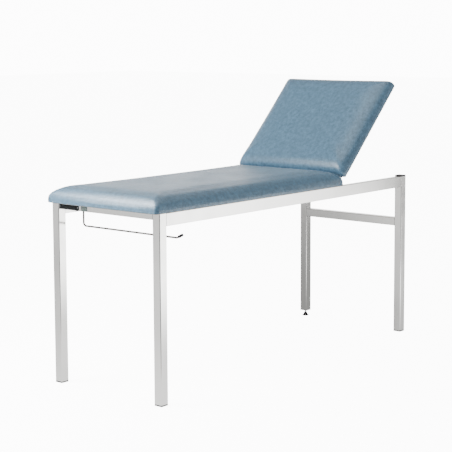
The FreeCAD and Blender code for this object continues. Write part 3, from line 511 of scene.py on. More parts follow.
def settle(piece, low, high, hinge, tuck, look):
    """Crown, full sides that draw in between the corners, and the lines of a tight cover."""
    middle, half = (low + high) / 2, (high - low) / 2
    crown_run = 0.42 * half.y
    tuck_start, tuck_reach, tuck_fade = 0.024, 0.13, 0.11
    draw_start, draw_fade, foot_fade, crease_fade = 0.012, 0.016, 0.012, 0.008
    line_scale, line_rise, line_share = 62, 5, 0.6
    broad_scale, broad_rise, broad_share = 19, 4, 0.7
    corner_fade, pleat_foot = 0.12, 0.006
    for vertex in piece.data.vertices:
        place = vertex.co
        x, y, z = place.x - middle.x, place.y - middle.y, place.z - low.z
        inset = min(half.x - abs(x), half.y - abs(y))
        out, corner = side_push(place, middle, half, look.roll)
        away = from_hinge(place.x, hinge)
        lift = look.crown * hill(inset / crown_run) + look.fullness * away
        place.z += lift * hill(z / look.edge)
        # The head pad's roll is tighter where it comes down on the body pad.
        reach = abs(x - math.copysign(half.x, hinge - middle.x))
        level = min(1, reach / look.roll)
        fuller = tuck * hill((z - tuck_start) / tuck_start)
        fuller *= hill((tuck_reach - reach) / tuck_fade)
        place.z += fuller * level
        place.x += math.copysign(fuller * (1 - level), hinge - middle.x)
        if out.length == 0:
            continue
        on_end = half.x - abs(x) < half.y - abs(y)
        share = abs(y) / half.y if on_end else abs(x) / half.x
        outer = hill(1.3 - inset / look.roll)
        push = -look.draw * (1 - share * share) * outer * hill((z - draw_start) / draw_fade)
        push += look.bulge * away * outer * hill(z / foot_fade) * hill((look.edge - z) / 0.03)
        push += look.skirt * outer * hill(1.2 - z / crease_fade)
        # The cover is pulled under the board, so short upright lines run up its sides.
        run = y if on_end else x
        side = outer * hill(1.25 - z / look.edge) * hill(z / crease_fade)
        lines = noise.noise(Vector((run * line_scale, z * line_rise, math.copysign(3, x + y))))
        broad = noise.noise(Vector((run * broad_scale, z * broad_rise,
                                    math.copysign(7, x - y))))
        push += look.tension * side * (line_share * lines + broad_share * broad)
        # Gathered cloth turns the corners in small pleats.
        fold = 0.5 - 0.5 * math.cos(2 * math.pi * look.pleats * corner)
        fade = hill(corner / corner_fade) * hill((1 - corner) / corner_fade)
        fade *= hill(1.1 - z / (0.5 * look.edge)) * hill(z / pleat_foot)
        push -= look.pleat_depth * fold * fade
        vertex.co = place + out * push


def padded_block(name, low, high, look):
    """Block with plumb walls and a top edge that rolls in, its corners rounder higher up."""
    small = look.start_inset
    wall_top = low.z + look.edge - look.rise
    middle, half = (low + high) / 2, (high - low) / 2
    piece = block(name, low + Vector((small, small, 0)),
                  Vector((high.x - small, high.y - small, wall_top)))
    round_edges(piece, upright_edge, look.corner, segments=8)
    round_edges(piece, level_edge(low.z), look.hem, segments=4)
    pick(piece, "FACE", top_face(wall_top))
    inset, turn = small, look.corner
    for step in range(1, look.roll_steps + 1):
        angle = math.pi / 2 * step / look.roll_steps
        level = wall_top + (look.rise - small) * math.sin(angle)
        bpy.ops.mesh.extrude_region_move()
        mesh = bmesh.from_edit_mesh(piece.data)
        new_inset = small + look.roll * (1 - math.cos(angle))
        new_turn = look.corner + look.corner_gain * new_inset
        for vertex in mesh.verts:
            if not vertex.select:
                continue
            x, y = vertex.co.x - middle.x, vertex.co.y - middle.y
            arc = Vector((abs(x) - (half.x - inset - turn), abs(y) - (half.y - inset - turn)))
            arc *= new_turn / turn
            vertex.co = (
                middle.x + math.copysign(half.x - new_inset - new_turn + arc.x, x),
                middle.y + math.copysign(half.y - new_inset - new_turn + arc.y, y), level)
        bmesh.update_edit_mesh(piece.data)
        inset, turn = new_inset, new_turn
    leave()
    return piece


def cushion(name, low, high, board_low, board_high, hinge, tuck, look):
    """Foam cushion under a stretched cover, open underneath where the board lies in it."""
    piece = padded_block(name, low, high, look)
    only(piece)
    piece.data.remesh_voxel_size = look.voxel
    bpy.ops.object.voxel_remesh()
    grow(piece, low.z + look.held, hinge, look.swell, look.frames)
    modify(piece, "SUBSURF", levels=1, render_levels=1)
    settle(piece, low, high, hinge, tuck, look)
    fit, below = look.fit, 0.02
    pocket = block("pocket", board_low - Vector((fit, fit, below)),
                   board_high + Vector((fit, fit, fit)))
    round_edges(pocket, upright_edge, look.corner - look.wall, segments=10)
    modify(piece, "BOOLEAN", operation="DIFFERENCE", object=pocket, solver="EXACT")
    bpy.data.objects.remove(pocket)
    smooth(piece, 50)
    return piece


# Small pieces.

def turned_by(direction, place, spin=0.0):
    """Matrix that stands a piece made along +Z at a place, along a direction."""
    turn = Vector(direction).to_track_quat("Z", "Y").to_matrix().to_4x4()
    return Matrix.Translation(place) @ turn @ Matrix.Rotation(spin, 4, "Z")


def hexagon_bolt(name, radius, flats, height, shank):
    """Hexagon head with a turned top, a washer face and its shank, pointing up the head."""
    washer, chamfer, sunk, land = 0.13 * height, 0.13 * height, 0.1 * height, 0.10 * flats
    raised, rest = 0.12 * height, 0.88 * height
    head = drum(name, flats / math.sqrt(3), (0, 0, raised), rest, sides=6)
    pick(head, "FACE", lambda face: face.normal.z > FACING)
    bpy.ops.mesh.inset(thickness=land, depth=0)
    leave()
    pick(head, "EDGE", lambda edge: level_edge(height, TINY)(edge)
         and min(vertex.co.xy.length for vertex in edge.verts) > 0.55 * flats)
    bpy.ops.transform.translate(value=(0, 0, -chamfer))
    leave()
    face = drum(name + "_face", 0.5 * flats, (0, 0, 0), washer, sides=24)
    body = drum(name + "_shank", radius, (0, 0, -shank), shank + sunk, sides=20)
    whole = join([head, face, body], name)
    smooth(whole, 30)
    return whole


def solids_of(node):
    """Points of each separate solid of a CAD node."""
    mesh = bmesh.new()
    mesh.from_mesh(frame["nodes"][node].data)
    bmesh.ops.remove_doubles(mesh, verts=mesh.verts, dist=TINY)
    seen, solids = set(), []
    for vertex in mesh.verts:
        if vertex in seen:
            continue
        waiting, points = [vertex], []
        seen.add(vertex)
        while waiting:
            here = waiting.pop()
            points.append(here.co.copy())
            for edge in here.link_edges:
                other = edge.other_vert(here)
                if other not in seen:
                    seen.add(other)
                    waiting.append(other)
        solids.append(points)
    mesh.free()
    return solids


def end_ring(points, direction):
    """Middle of the points that lie furthest along a direction."""
    reaches = [point.dot(direction) for point in points]
    furthest = max(reaches) - SLACK
    ring = [point for point, reach in zip(points, reaches) if reach > furthest]
    return sum(ring, Vector()) / len(ring)


def set_of_bolts(name, node, direction_of, radius, flats, height, shank, carrier):
    """A node's bolts, modelled once and copied to where the node has them."""
    spin = 0.61
    first = hexagon_bolt(name + "_first", radius, flats, height, shank)
    copies = []
    for index, points in enumerate(solids_of(node)):
        direction = direction_of(sum(points, Vector()) / len(points))
        seat = end_ring(points, direction) - direction * height
        copies.append(copy_to(first, f"{name}_{index}", turned_by(direction, seat,
                                                                  spin * index)))
    bpy.data.objects.remove(first)
    piece = join(copies, name)
    dress(piece, zinc(), carrier)
    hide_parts(node)


def threaded_rod(name, radius, pitch, foot, length, sides=20):
    """Screw thread along +Z, closed at both ends."""
    start()
    bpy.ops.mesh.primitive_plane_add(size=1)
    ridge = bpy.context.object
    pick(ridge, "FACE", any_face)
    bpy.ops.mesh.delete(type="VERT")
    leave()
    root = radius - 0.61 * pitch
    crest_start, crest_end, root_start = 0.36 * pitch, 0.52 * pitch, 0.88 * pitch
    mesh = bmesh.new()
    corners = [mesh.verts.new((reach, 0, height)) for reach, height in
               ((root, 0), (radius, crest_start), (radius, crest_end), (root, root_start),
                (root, pitch))]
    for low, high in zip(corners, corners[1:]):
        mesh.edges.new((low, high))
    mesh.to_mesh(ridge.data)
    mesh.free()
    turns = int(length / pitch)
    modify(ridge, "SCREW", axis="Z", angle=2 * math.pi, steps=sides, render_steps=sides,
           screw_offset=pitch, iterations=turns, use_merge_vertices=True, merge_threshold=SAME)
    ridge.data.transform(Matrix.Translation(foot))
    ridge.name = ridge.data.name = name
    core = drum(name + "_core", root + SAME, Vector(foot) + Vector((0, 0, 0.4 * pitch)),
                (turns + 0.2) * pitch, sides)
    pick(ridge, "FACE", any_face)
    bpy.ops.mesh.remove_doubles(threshold=TINY)
    bpy.ops.mesh.normals_make_consistent(inside=False)
    leave()
    return join([ridge, core], name)


def bead(name, length, radius):
    """Rippled weld bead along +Z."""
    spacing, ripple, taper = 0.0011, 0.0033, 0.003
    piece = drum(name, radius, (0, 0, 0), length, sides=10)
    pick(piece, "EDGE", upright_edge)
    bpy.ops.mesh.subdivide(number_cuts=int(length / spacing))
    leave()
    for vertex in piece.data.vertices:
        share = 0.82 + 0.18 * abs(math.sin(math.pi * vertex.co.z / ripple))
        end = min(vertex.co.z, length - vertex.co.z)
        share *= 0.35 + 0.65 * hill(end / taper)
        vertex.co.x *= share
        vertex.co.y *= share
    smooth(piece, 60)
    return piece


def hem_strip(name, low, high, thickness, ragged):
    """Cut edge of the cover, folded flat on to the underside of its board."""
    spacing, wander_scale, wander_width, end_fade = 0.006, 31, 0.0022, 0.01
    long_way = 0 if high[0] - low[0] > high[1] - low[1] else 1
    short_way = 1 - long_way
    piece = block(name, (low[0], low[1], low[2] - thickness), (high[0], high[1], low[2]))
    pick(piece, "EDGE", lambda edge: runs_along(edge, long_way))
    bpy.ops.mesh.subdivide(number_cuts=int((high[long_way] - low[long_way]) / spacing))
    leave()
    for vertex in piece.data.vertices:
        place = vertex.co
        wander = noise.noise(Vector((place[long_way] * wander_scale, 5.0, low[0] + low[1])))
        end = min(place[long_way] - low[long_way], high[long_way] - place[long_way])
        if abs(place[short_way] - ragged) < SAME:
            place[short_way] += wander_width * wander * hill(end / end_fade)
        if place.z < low[2] - 0.5 * thickness:
            place.z -= 0.5 * thickness * abs(wander)
    smooth(piece, 40)
    return piece


def staple(name):
    """Flat wire staple, its crown resting on the origin with the wire's ends in the board."""
    wide, thick, legs_at, leg_half, leg_top = 0.005, 0.0004, 0.0047, 0.0003, 0.004
    crown = block(name, (-wide, -thick, -0.0007), (wide, thick, -0.0001))
    for accepts, rim in ((lambda face: abs(face.normal.x) > FACING, 0.00008),
                         (lambda face: face.normal.z > FACING, 0.0001)):
        pick(crown, "FACE", accepts)
        bpy.ops.mesh.inset(thickness=rim, depth=0)
        leave()
    round_edges(crown, lambda edge: abs(edge.verts[0].co.y - edge.verts[1].co.y) > 5e-4
                and all(vertex.co.z < -0.0006 for vertex in edge.verts), 0.00045, segments=3)
    legs = [block(f"{name}_leg", (at - leg_half, -thick, -thick), (at + leg_half, thick, leg_top))
            for at in (-legs_at, legs_at)]
    whole = join([crown, *legs], name)
    smooth(whole, 30)
    return whole


def row_of_staples(first, name, begin, end, level, spacing, lean, skip=()):
    """Copies of one staple along a line, a little uneven as a hand sets them. None is set
    between the pairs of x in skip."""
    uneven_turn, uneven_x, uneven_y = 0.35, 0.0015, 0.002
    run = Vector(end) - Vector(begin)
    count = max(2, int(run.length / spacing))
    made = []
    for index in range(count):
        share = (index + 0.5) / count
        wander = noise.noise(Vector((index * 1.7, begin[0] * 9, begin[1] * 7)))
        place = Vector(begin) + run * share
        place += Vector((uneven_x * wander, uneven_y * wander, level - begin[2]))
        if any(low < place.x < high for low, high in skip):
            continue
        turn = Matrix.Rotation(lean + uneven_turn * wander, 4, "Z")
        made.append(copy_to(first, f"{name}_{index}", Matrix.Translation(place) @ turn))
    return made


# Studio.

def along(shader, place, angle):
    """How far a place or direction reaches along a level heading."""
    share = shader.node("VectorMath")
    share.operation = "DOT_PRODUCT"
    shader.feed(share.inputs, {0: place, 1: (math.cos(angle), math.sin(angle), 0)})
    return share.outputs["Value"]


def soft(shader, value, run, low, high):
    return shader.span(value, *run, low, high, kind="SMOOTHSTEP")


def choose(shader, seen, lit, mirrored):
    """One brightness for the camera, one for soft light and one for reflections."""
    path = shader.node("LightPath").outputs
    level = shader.span(path["Is Glossy Ray"], 0, 1, lit, mirrored)
    return shader.span(path["Is Camera Ray"], 0, 1, level, seen)


def reflected_floor(shader, look):
    """Floor as the plated tubes mirror it: brightest to one side, fading to the head end, and
    dark in front of the foot end, where the tubes' corners pick it up."""
    bright_run, dim_run, near_run = (-0.8, 0.9), (-0.5, 0.7), (-0.6, 0.8)
    shade_run, dark_run, slant = (0.06, 0.30), (-1.35, -1.05), 0.12
    far_side, near_side, bright_side = (-5.0, -3.5), (-2.0, -0.3), (0.3, 2.2)
    side = along(shader, shader.place, -look.camera_yaw)
    head = along(shader, shader.place, math.pi / 2 - look.camera_yaw)
    beyond = shader.math("SUBTRACT", head, shader.math("MULTIPLY", side, slant))
    bright = shader.math("MULTIPLY", shader.span(head, *bright_run, *look.bright_side),
                         soft(shader, beyond, shade_run, 1, look.head_shade))
    dim = soft(shader, side, far_side, look.far_floor,
               soft(shader, head, dim_run, *look.dim_side))
    near = soft(shader, head, near_run, *look.near_floor)
    level = soft(shader, side, near_side, dim, near)
    level = soft(shader, side, bright_side, level, bright)
    return shader.math("MULTIPLY", level,
                       soft(shader, head, dark_run, look.dark_level, 1))


# The floor glows. The camera sees it evenly bright, and it gives the couch a soft light. Reflections see painted
# bright and dark patches of light over a nearly black floor colour.
@finish
def floor_material(shader, look):
    cloudiness, mirrored_colour = 0.985, 0.02
    tone = shader.mix(shader.noise(0.6, detail=2), shade(look.floor, cloudiness),
                      shade(look.floor, 1.0))
    glossy = shader.node("LightPath").outputs["Is Glossy Ray"]
    glow = choose(shader, look.floor_glow, look.floor_light, reflected_floor(shader, look))
    shader.surface(Base_Color=shader.mix(glossy, tone, shade(look.floor, mirrored_colour)),
                   Roughness=0.7, Specular_IOR_Level=0.1, Emission_Color=(1, 1, 1, 1),
                   Emission_Strength=glow)


def light_room(tree, look):
    """Brightness of the room: walls and a dim ceiling for reflections."""
    wall_run, ceiling_run, dark_run = (-0.2, 0.9), (0.15, 0.5), (0.3, 0.8)
    shader = Shader(tree, tree.nodes.new("ShaderNodeTexCoord").outputs["Generated"])
    rise = shader.node("SeparateXYZ", Vector=shader.place).outputs["Z"]
    wall = shader.span(along(shader, shader.place, look.camera_yaw), *wall_run, *look.walls)
    mirrored = soft(shader, rise, ceiling_run, wall, look.ceiling)
    ahead = soft(shader, along(shader, shader.place, look.camera_yaw + math.pi), dark_run, 1,
                 look.dark_level)
    level = choose(shader, look.backdrop, look.room_light,
                   shader.math("MULTIPLY", mirrored, ahead))
    shader.feed(tree.nodes["Background"].inputs, {"Color": (1, 1, 1, 1), "Strength": level})


# Name, place, aim, size, watts, and the kinds of ray that pass it by.
LAMPS = (
    ("foot_softbox", (-2.4, 1.5, 1.65), (-0.86, 0, 0.78), 1.4, 130, ("camera", "glossy")),
    ("gleam", (-1.15, 0.3, 1.4), (-0.86, -0.1, 0.78), 0.7, 36, ("camera", "diffuse")),
    ("top_light", (0.2, -0.4, 4.2), (0, 0, 0.7), 3.0, 48, ("camera",)),
)


def add_lamp(name, place, aim, size, power, unseen_by):
    bpy.ops.object.light_add(type="AREA", location=place)
    lamp = bpy.context.object
    lamp.name = name
    lamp.data.size = size
    lamp.data.energy = power
    for ray in unseen_by:
        setattr(lamp, "visible_" + ray, False)
    facing = Vector(aim) - Vector(place)
    lamp.rotation_euler = facing.to_track_quat("-Z", "Y").to_euler()


def add_camera(look):
    bpy.ops.object.camera_add(location=look.camera_place)
    camera = bpy.context.object
    camera.name = "photo_camera"
    ahead = Vector((math.cos(look.camera_yaw) * math.cos(look.camera_pitch),
                    math.sin(look.camera_yaw) * math.cos(look.camera_pitch),
                    -math.sin(look.camera_pitch)))
    upright = ahead.to_track_quat("-Z", "Y").to_matrix()
    lean = Matrix.Rotation(look.camera_roll, 3, "Z")
    camera.rotation_euler = (upright @ lean).to_euler()
    camera.data.sensor_width = 36
    camera.data.lens = look.lens
    camera.data.shift_y = look.shift
    camera.data.clip_end = 200
    bpy.context.scene.camera = camera


# Settings.

def setting(kind, **fixed):
    """A short way to write settings of one kind: by name, description and default."""
    return lambda name, description, default: kind(name=name, description=description,
                                                   default=default, **fixed)


metres = setting(FloatProperty, unit="LENGTH", precision=5)
radians = setting(FloatProperty, subtype="ANGLE")
fraction = setting(FloatProperty, subtype="FACTOR", min=0, max=1)
number = setting(FloatProperty)
whole_number = setting(IntProperty)
number_pair = setting(FloatVectorProperty, size=2)
rgb_colour = setting(FloatVectorProperty, subtype="COLOR", size=3)
position = setting(FloatVectorProperty, subtype="TRANSLATION", size=3)


class CushionSettings(bpy.types.PropertyGroup):
    edge: metres("Edge height", "Where the rolled edge meets the top", 0.058)
    crown: metres("Crown", "How much fuller the middle is", 0.008)
    swell: metres("Swell", "How far the foam may press the cover out", 0.003)
    start_inset: metres("Start inset", "How much smaller the pad starts", 0.0006)
    corner: metres("Corner radius", "Pad corner from above", 0.014)
    corner_gain: number("Corner gain", "Growth of the corner's radius over the roll", 0.3)
    roll: metres("Roll", "How far in the rolled top edge reaches", 0.052)
    rise: metres("Rise", "Height of the rolled top edge", 0.044)
    roll_steps: whole_number("Roll steps", "Steps of the rolled edge", 14)
    bulge: metres("Bulge", "How far the foam bows the sides out", 0.004)
    fullness: metres("Fullness", "How much higher the pad is off the hinge", 0.003)
    tuck: metres("Tuck", "How much fuller the head pad's roll is at the hinge", 0.005)
    skirt: metres("Skirt", "How far the bottom edge stands out", 0.0024)
    hem: metres("Bottom rounding", "Rounding of the bottom edge", 0.005)
    draw: metres("Draw", "How far the sides draw in between corners", 0.003)
    wall: metres("Wall", "Padding beside the board", 0.004)
    fit: metres("Fit", "Room between the board and the padding", 0.0002)
    held: metres("Held height", "Cover fixed up to this height", 0.008)
    tension: metres("Tension lines", "Depth of the lines on the sides", 0.0007)
    pleats: whole_number("Pleats", "Pleats round a corner", 5)
    pleat_depth: metres("Pleat depth", "Depth of a corner pleat", 0.0011)
    voxel: metres("Mesh size", "Mesh size before the subdivision", 0.0075)
    frames: whole_number("Frames", "Frames of the foam's simulation", 20)
    fill: fraction("Fill", "How full the pads are", 0.95)


class DetailSettings(bpy.types.PropertyGroup):
    cover: metres("Cover", "Thickness of the coated fabric", 0.00045)
    hem_gap: metres("Hem gap", "Between a hem and what it ends at", 0.001)
    hem_room: metres("Hem room", "Hem past the end of the hinge plate", 0.052)
    hem_inset: metres("Hem inset", "Shorter hem between the hinge plates", 0.013)
    head_hem: metres("Head hem", "Hem at the head pad's free end", 0.035)
    staple_spacing: metres("Staple spacing", "From staple to staple", 0.03)
    bare_length: metres("Bare length", "From the pivot to the first staple", 0.125)
    bare_room: metres("Bare room", "Free of staples round a cap", 0.008)
    bolt_radius: metres("Bolt radius", "M6 bolts", 0.003)
    bolt_flats: metres("Bolt flats", "Across an M6 head's flats", 0.010)
    bolt_head: metres("Bolt head", "Height of an M6 head", 0.004)
    screw_radius: metres("Screw radius", "Coach screws of the arms", 0.0025)
    screw_flats: metres("Screw flats", "Across a coach screw's flats", 0.008)
    screw_head: metres("Screw head", "Height of a coach screw's head", 0.0032)
    shank: metres("Shank", "Shank that is modelled below a head", 0.003)
    flats_gap: metres("Flats gap", "Wrench flats above the foot", 0.001)
    flats_height: metres("Flats height", "Length of the wrench flats", 0.005)
    flats: metres("Flats", "Across the wrench flats", 0.0065)
    pitch: metres("Pitch", "Thread of the levelling spindle", 0.00125)
    foot_rim: metres("Foot rim", "Upright rim of the levelling foot", 0.004)
    foot_edge: metres("Foot edge", "Rounded edges of the levelling foot", 0.0008)
    bead: metres("Bead", "Radius of a weld bead", 0.0021)
    tip_radius: metres("Tip radius", "Cap on the rod's end", 0.0058)
    tip_slope: radians("Tip slope", "Slope of the rod's end", math.radians(26))


class FinishSettings(bpy.types.PropertyGroup):
    vinyl: rgb_colour("Vinyl", "Blue of the coated fabric", (0.102, 0.200, 0.296))
    chrome: rgb_colour("Plating", "Plated tube", (0.86, 0.855, 0.83))
    zinc: rgb_colour("Zinc", "Zinc plate", (0.58, 0.59, 0.60))
    plastic: rgb_colour("Plastic", "Black plastic", (0.012, 0.012, 0.013))
    plywood: rgb_colour("Plywood", "Boards", (0.46, 0.30, 0.155))
    dark_plate: rgb_colour("Dark plate", "Long blank plate", (0.012, 0.013, 0.014))
    grey_plate: rgb_colour("Grey plate", "Short blank plate", (0.10, 0.13, 0.12))


class StudioSettings(bpy.types.PropertyGroup):
    camera_place: position("Camera", "Camera's place", (-4.4736, -3.7135, 1.4323))
    camera_yaw: radians("Yaw", "Camera's heading from +X", math.radians(40.336))
    camera_pitch: radians("Pitch", "Camera's slope below level", math.radians(6.437))
    camera_roll: radians("Roll", "Camera's lean", math.radians(-0.267))
    lens: number("Lens", "Focal length in millimetres", 106.49)
    shift: number("Shift", "Upward shift of the frame", -0.0996)
    floor: rgb_colour("Floor", "Floor's colour", (0.86, 0.86, 0.86))
    floor_glow: number("Floor glow", "Floor as the camera sees it", 11)
    floor_light: number("Floor light", "Soft light from the floor", 0.25)
    backdrop: number("Backdrop", "Brightness behind the couch", 12.5)
    room_light: number("Room light", "Soft light all round", 0.51)
    # Reflected floor, each time at the foot end and at the head end.
    bright_side: number_pair("Bright side", "Floor towards the head end's near side", (5.4, 2.0))
    dim_side: number_pair("Dim side", "Floor across from the bright side", (1.35, 0.4))
    near_floor: number_pair("Near floor", "Floor close to the couch", (1.75, 0.35))
    far_floor: number("Far floor", "Reflected floor far across", 1.15)
    head_shade: number("Head shade", "Light left beyond the head end", 0.18)
    dark_level: number("Dark level", "Light left in front of the foot end", 0.06)
    walls: number_pair("Walls", "Reflected walls at the foot end and the head end", (0.6, 1.9))
    ceiling: number("Ceiling", "Reflected ceiling", 0.25)


class COUCH_OT_cushions(bpy.types.Operator):
    """Makes the body and head cushions, the head one raised with its section"""
    bl_idname = "couch.cushions"
    bl_label = "Cushions"

    def execute(self, context):
        look = context.scene.couch_cushion
        body = cushion("body_cushion", BODY_LOW, BODY_HIGH, BOARD_LOW, BOARD_HIGH,
                       BODY_HIGH.x, 0, look)
        head = cushion("head_cushion", HEAD_LOW, HEAD_HIGH, HEAD_BOARD_LOW, HEAD_BOARD_HIGH,
                       HEAD_LOW.x, look.tuck, look)
        head.data.transform(TO_HEAD)
        for piece, node, carrier in ((body, "body_pad", "frame"),
                                     (head, "head_pad", "head_section")):
            dress(piece, vinyl(), carrier)
            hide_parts(node)
        return {"FINISHED"}


class COUCH_OT_hems(bpy.types.Operator):
    """Folds the covers' edges on to the boards and staples them"""
    bl_idname = "couch.hems"
    bl_label = "Cover hems"

    def body_sides(self, look):
        """Corners of each hem, the way across it, its ragged edge, its staples' lean and
        the lengths without staples."""
        low, high = BOARD_LOW, BOARD_HIGH
        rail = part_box("foot_cross_rail")[0].x - look.hem_gap
        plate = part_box("hinge_plate_far")[0].x + look.hem_room
        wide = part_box("side_rail_far")[0].y - look.hem_gap
        narrow = wide - look.hem_inset
        return (((low.x, -wide), (rail, wide), 0, rail, STEEP_LEAN, ()),
                ((plate, -narrow), (high.x, narrow), 0, plate, STEEP_LEAN, ()))

    def head_sides(self, look):
        low, high = HEAD_BOARD_LOW, HEAD_BOARD_HIGH
        arm = flat_box("hinge_arm_far")[1].y + look.hem_gap
        free = high.x - look.head_hem
        # The flat head section lies on the rails and the caps, so no staple is set there.
        cap_low, cap_high = (corner.x - PIVOT.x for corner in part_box("cap_head_far"))
        bare = ((0, look.bare_length), (cap_low - look.bare_room, cap_high + look.bare_room))
        return (((low.x, arm), (high.x, high.y), 1, arm, SLIGHT_LEAN, bare),
                ((low.x, -high.y), (high.x, -arm), 1, -arm, SLIGHT_LEAN, bare),
                ((free, -arm), (high.x, arm), 0, free, STEEP_LEAN, ()))

    def execute(self, context):
        look = context.scene.couch_detail
        first = staple("staple")
        for section, carrier, board, sides, place in (
                ("body", "frame", BOARD_LOW, self.body_sides(look), Matrix.Identity(4)),
                ("head", "head_section", HEAD_BOARD_LOW, self.head_sides(look), TO_HEAD)):
            strips, rows = [], []
            for index, (corner, opposite, way, ragged, lean, bare) in enumerate(sides):
                begin, end = Vector((*corner, board.z)), Vector((*opposite, board.z))
                strips.append(hem_strip(f"{section}_hem_{index}", begin, end, look.cover,
                                        ragged))
                begin[way] = end[way] = (begin[way] + end[way]) / 2
                rows += row_of_staples(first, f"{section}_staple_{index}", begin, end,
                                       board.z - look.cover, look.staple_spacing, lean, bare)
            for pieces, name, finish, slot in (
                    (strips, section + "_cover_hem", vinyl(), "blue_vinyl"),
                    (rows, section + "_staples", zinc(), "zinc_steel")):
                piece = join(pieces, name)
                piece.data.transform(place)
                dress(piece, finish, carrier)
        bpy.data.objects.remove(first)
        return {"FINISHED"}


class COUCH_OT_fasteners(bpy.types.Operator):
    """Makes the bolts and coach screws of the hinges, boards and holder"""
    bl_idname = "couch.fasteners"
    bl_label = "Fasteners"

    def execute(self, context):
        look = context.scene.couch_detail
        under_head = (HEAD_RAISED @ Vector((0, 0, -1))).normalized()
        bolt = (look.bolt_radius, look.bolt_flats, look.bolt_head, look.shank, "frame")
        screw = (look.screw_radius, look.screw_flats, look.screw_head, look.shank,
                 "head_section")
        for name, node, direction_of, sizes in (
                ("hinge_bolts", "plate_bolts",
                 lambda middle: Vector((0, -math.copysign(1, middle.y), 0)), bolt),
                ("holder_bolts", "bracket_screws", lambda middle: Vector((0, -1, 0)), bolt),
                ("board_coach_screws", "board_screws", lambda middle: Vector((0, 0, -1)), bolt),
                ("arm_coach_screws", "arm_screws", lambda middle: under_head, screw)):
            set_of_bolts(name, node, direction_of, *sizes)
        return {"FINISHED"}


class COUCH_OT_leveller(bpy.types.Operator):
    """Makes the threaded spindle and the turned foot under the far head leg"""
    bl_idname = "couch.leveller"
    bl_label = "Levelling foot"

    def make_spindle(self, look, low, high, foot_top):
        middle, radius = (low + high) / 2, (high.x - low.x) / 2
        flats_low = foot_top + look.flats_gap
        flats_high = flats_low + look.flats_height
        shank = drum("shank", radius, (middle.x, middle.y, low.z), flats_low - low.z)
        flats = drum("flats", radius, (middle.x, middle.y, flats_low), look.flats_height)
        for side in (NEAR, FAR):
            pick(flats, "FACE", any_face)
            bpy.ops.mesh.bisect(plane_co=(middle.x + side * look.flats / 2, 0, 0),
                                plane_no=(side, 0, 0), use_fill=True, clear_outer=True)
            leave()
        thread = threaded_rod("thread", radius, look.pitch,
                              (middle.x, middle.y, flats_high), high.z - flats_high)
        spindle = join([thread, flats, shank], "threaded_spindle")
        smooth(spindle, 30)
        dress(spindle, zinc(), "leveller_spindle")
        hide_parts("leveller_spindle")

    def make_foot(self, look, low, high, spindle_low, spindle_high):
        """Turned foot: a rim, a concave sweep of (rise, share of the radius) and a bore."""
        sweep = ((0.06, 0.88), (0.12, 0.74), (0.17, 0.62), (0.21, 0.54), (0.22, 0.49),
                 (0.17, 0.47), (0.05, 0.44))
        bore_room, bore_depth = look.hem_gap / 20, 1e-4
        middle = (spindle_low + spindle_high) / 2
        bore = (spindle_high.x - spindle_low.x) / 2
        reach = (high.x - low.x) / 2
        neck = high.z - low.z - look.foot_rim
        foot = drum("turned_foot", reach, (middle.x, middle.y, low.z), look.foot_rim,
                    sides=48)
        pick(foot, "FACE", top_face(low.z + look.foot_rim))
        reached = reach
        for rise, share in sweep:
            scale = share * reach / reached
            bpy.ops.mesh.extrude_region_move(
                TRANSFORM_OT_translate={"value": (0, 0, neck * rise)})
            bpy.ops.transform.resize(value=(scale, scale, 1))
            reached = share * reach
        leave()
        pick(foot, "FACE", lambda face: face.normal.z > FACING
             and face.calc_center_median().z > high.z - SAME)
        bpy.ops.mesh.inset(thickness=reached - bore - bore_room, depth=0)
        bpy.ops.mesh.extrude_region_move(
            TRANSFORM_OT_translate={"value": (0, 0, spindle_low.z - high.z - bore_depth)})
        leave()
        round_edges(foot, lambda edge: max(v.co.z for v in edge.verts) - low.z
                    < look.foot_rim + SAME and abs(edge.verts[0].co.z - edge.verts[1].co.z) < TINY
                    and max((v.co.xy - middle.xy).length for v in edge.verts) > 0.98 * reach,
                    look.foot_edge, segments=3)
        smooth(foot, 40)
        dress(foot, black_plastic(), "leveller_foot")
        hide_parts("leveller_foot")

    def execute(self, context):
        look = context.scene.couch_detail
        spindle_box, foot_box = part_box("leveller_spindle"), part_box("leveller_foot")
        self.make_spindle(look, *spindle_box, foot_box[1].z)
        self.make_foot(look, *foot_box, *spindle_box)
        return {"FINISHED"}


class COUCH_OT_welds(bpy.types.Operator):
    """Runs weld beads where the rails meet the legs and each other"""
    bl_idname = "couch.welds"
    bl_label = "Weld beads"

    def joint_lines(self, side):
        """Begin and end of each bead on one side of the couch."""
        short = 0.002
        near = side == NEAR
        low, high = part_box("side_rail_near" if near else "side_rail_far")
        inner, outer = (high.y, low.y) if near else (low.y, high.y)
        for x in (low.x, high.x):
            yield (x, inner, low.z), (x, inner, high.z)
            yield (x, inner, low.z), (x, outer - side * short, low.z)
        for rail in ("foot_cross_rail", "middle_cross_rail"):
            low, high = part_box(rail)
            y = low.y if near else high.y
            for x in (high.x,) if rail.startswith("foot") else (low.x, high.x):
                yield (x, y, low.z), (x, y, high.z)
            yield (low.x + short, y, low.z), (high.x, y, low.z)
        low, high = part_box("head_cross_rail")
        y = low.y if near else high.y
        for z in (low.z, high.z):
            yield (low.x + short, y, z), (high.x - short, y, z)

    def execute(self, context):
        radius, spin = context.scene.couch_detail.bead, 0.9
        lines = [line for side in (NEAR, FAR) for line in self.joint_lines(side)]
        beads, made = {}, []
        for index, (begin, end) in enumerate(lines):
            run = Vector(end) - Vector(begin)
            length = round(run.length, 4)
            if length not in beads:
                beads[length] = bead(f"bead_{len(beads)}", length, radius)
            made.append(copy_to(beads[length], f"weld_{index}",
                                turned_by(run.normalized(), begin, spin * index)))
        for piece in beads.values():
            bpy.data.objects.remove(piece)
        dress(join(made, "weld_beads"), chrome(), "frame")
        return {"FINISHED"}


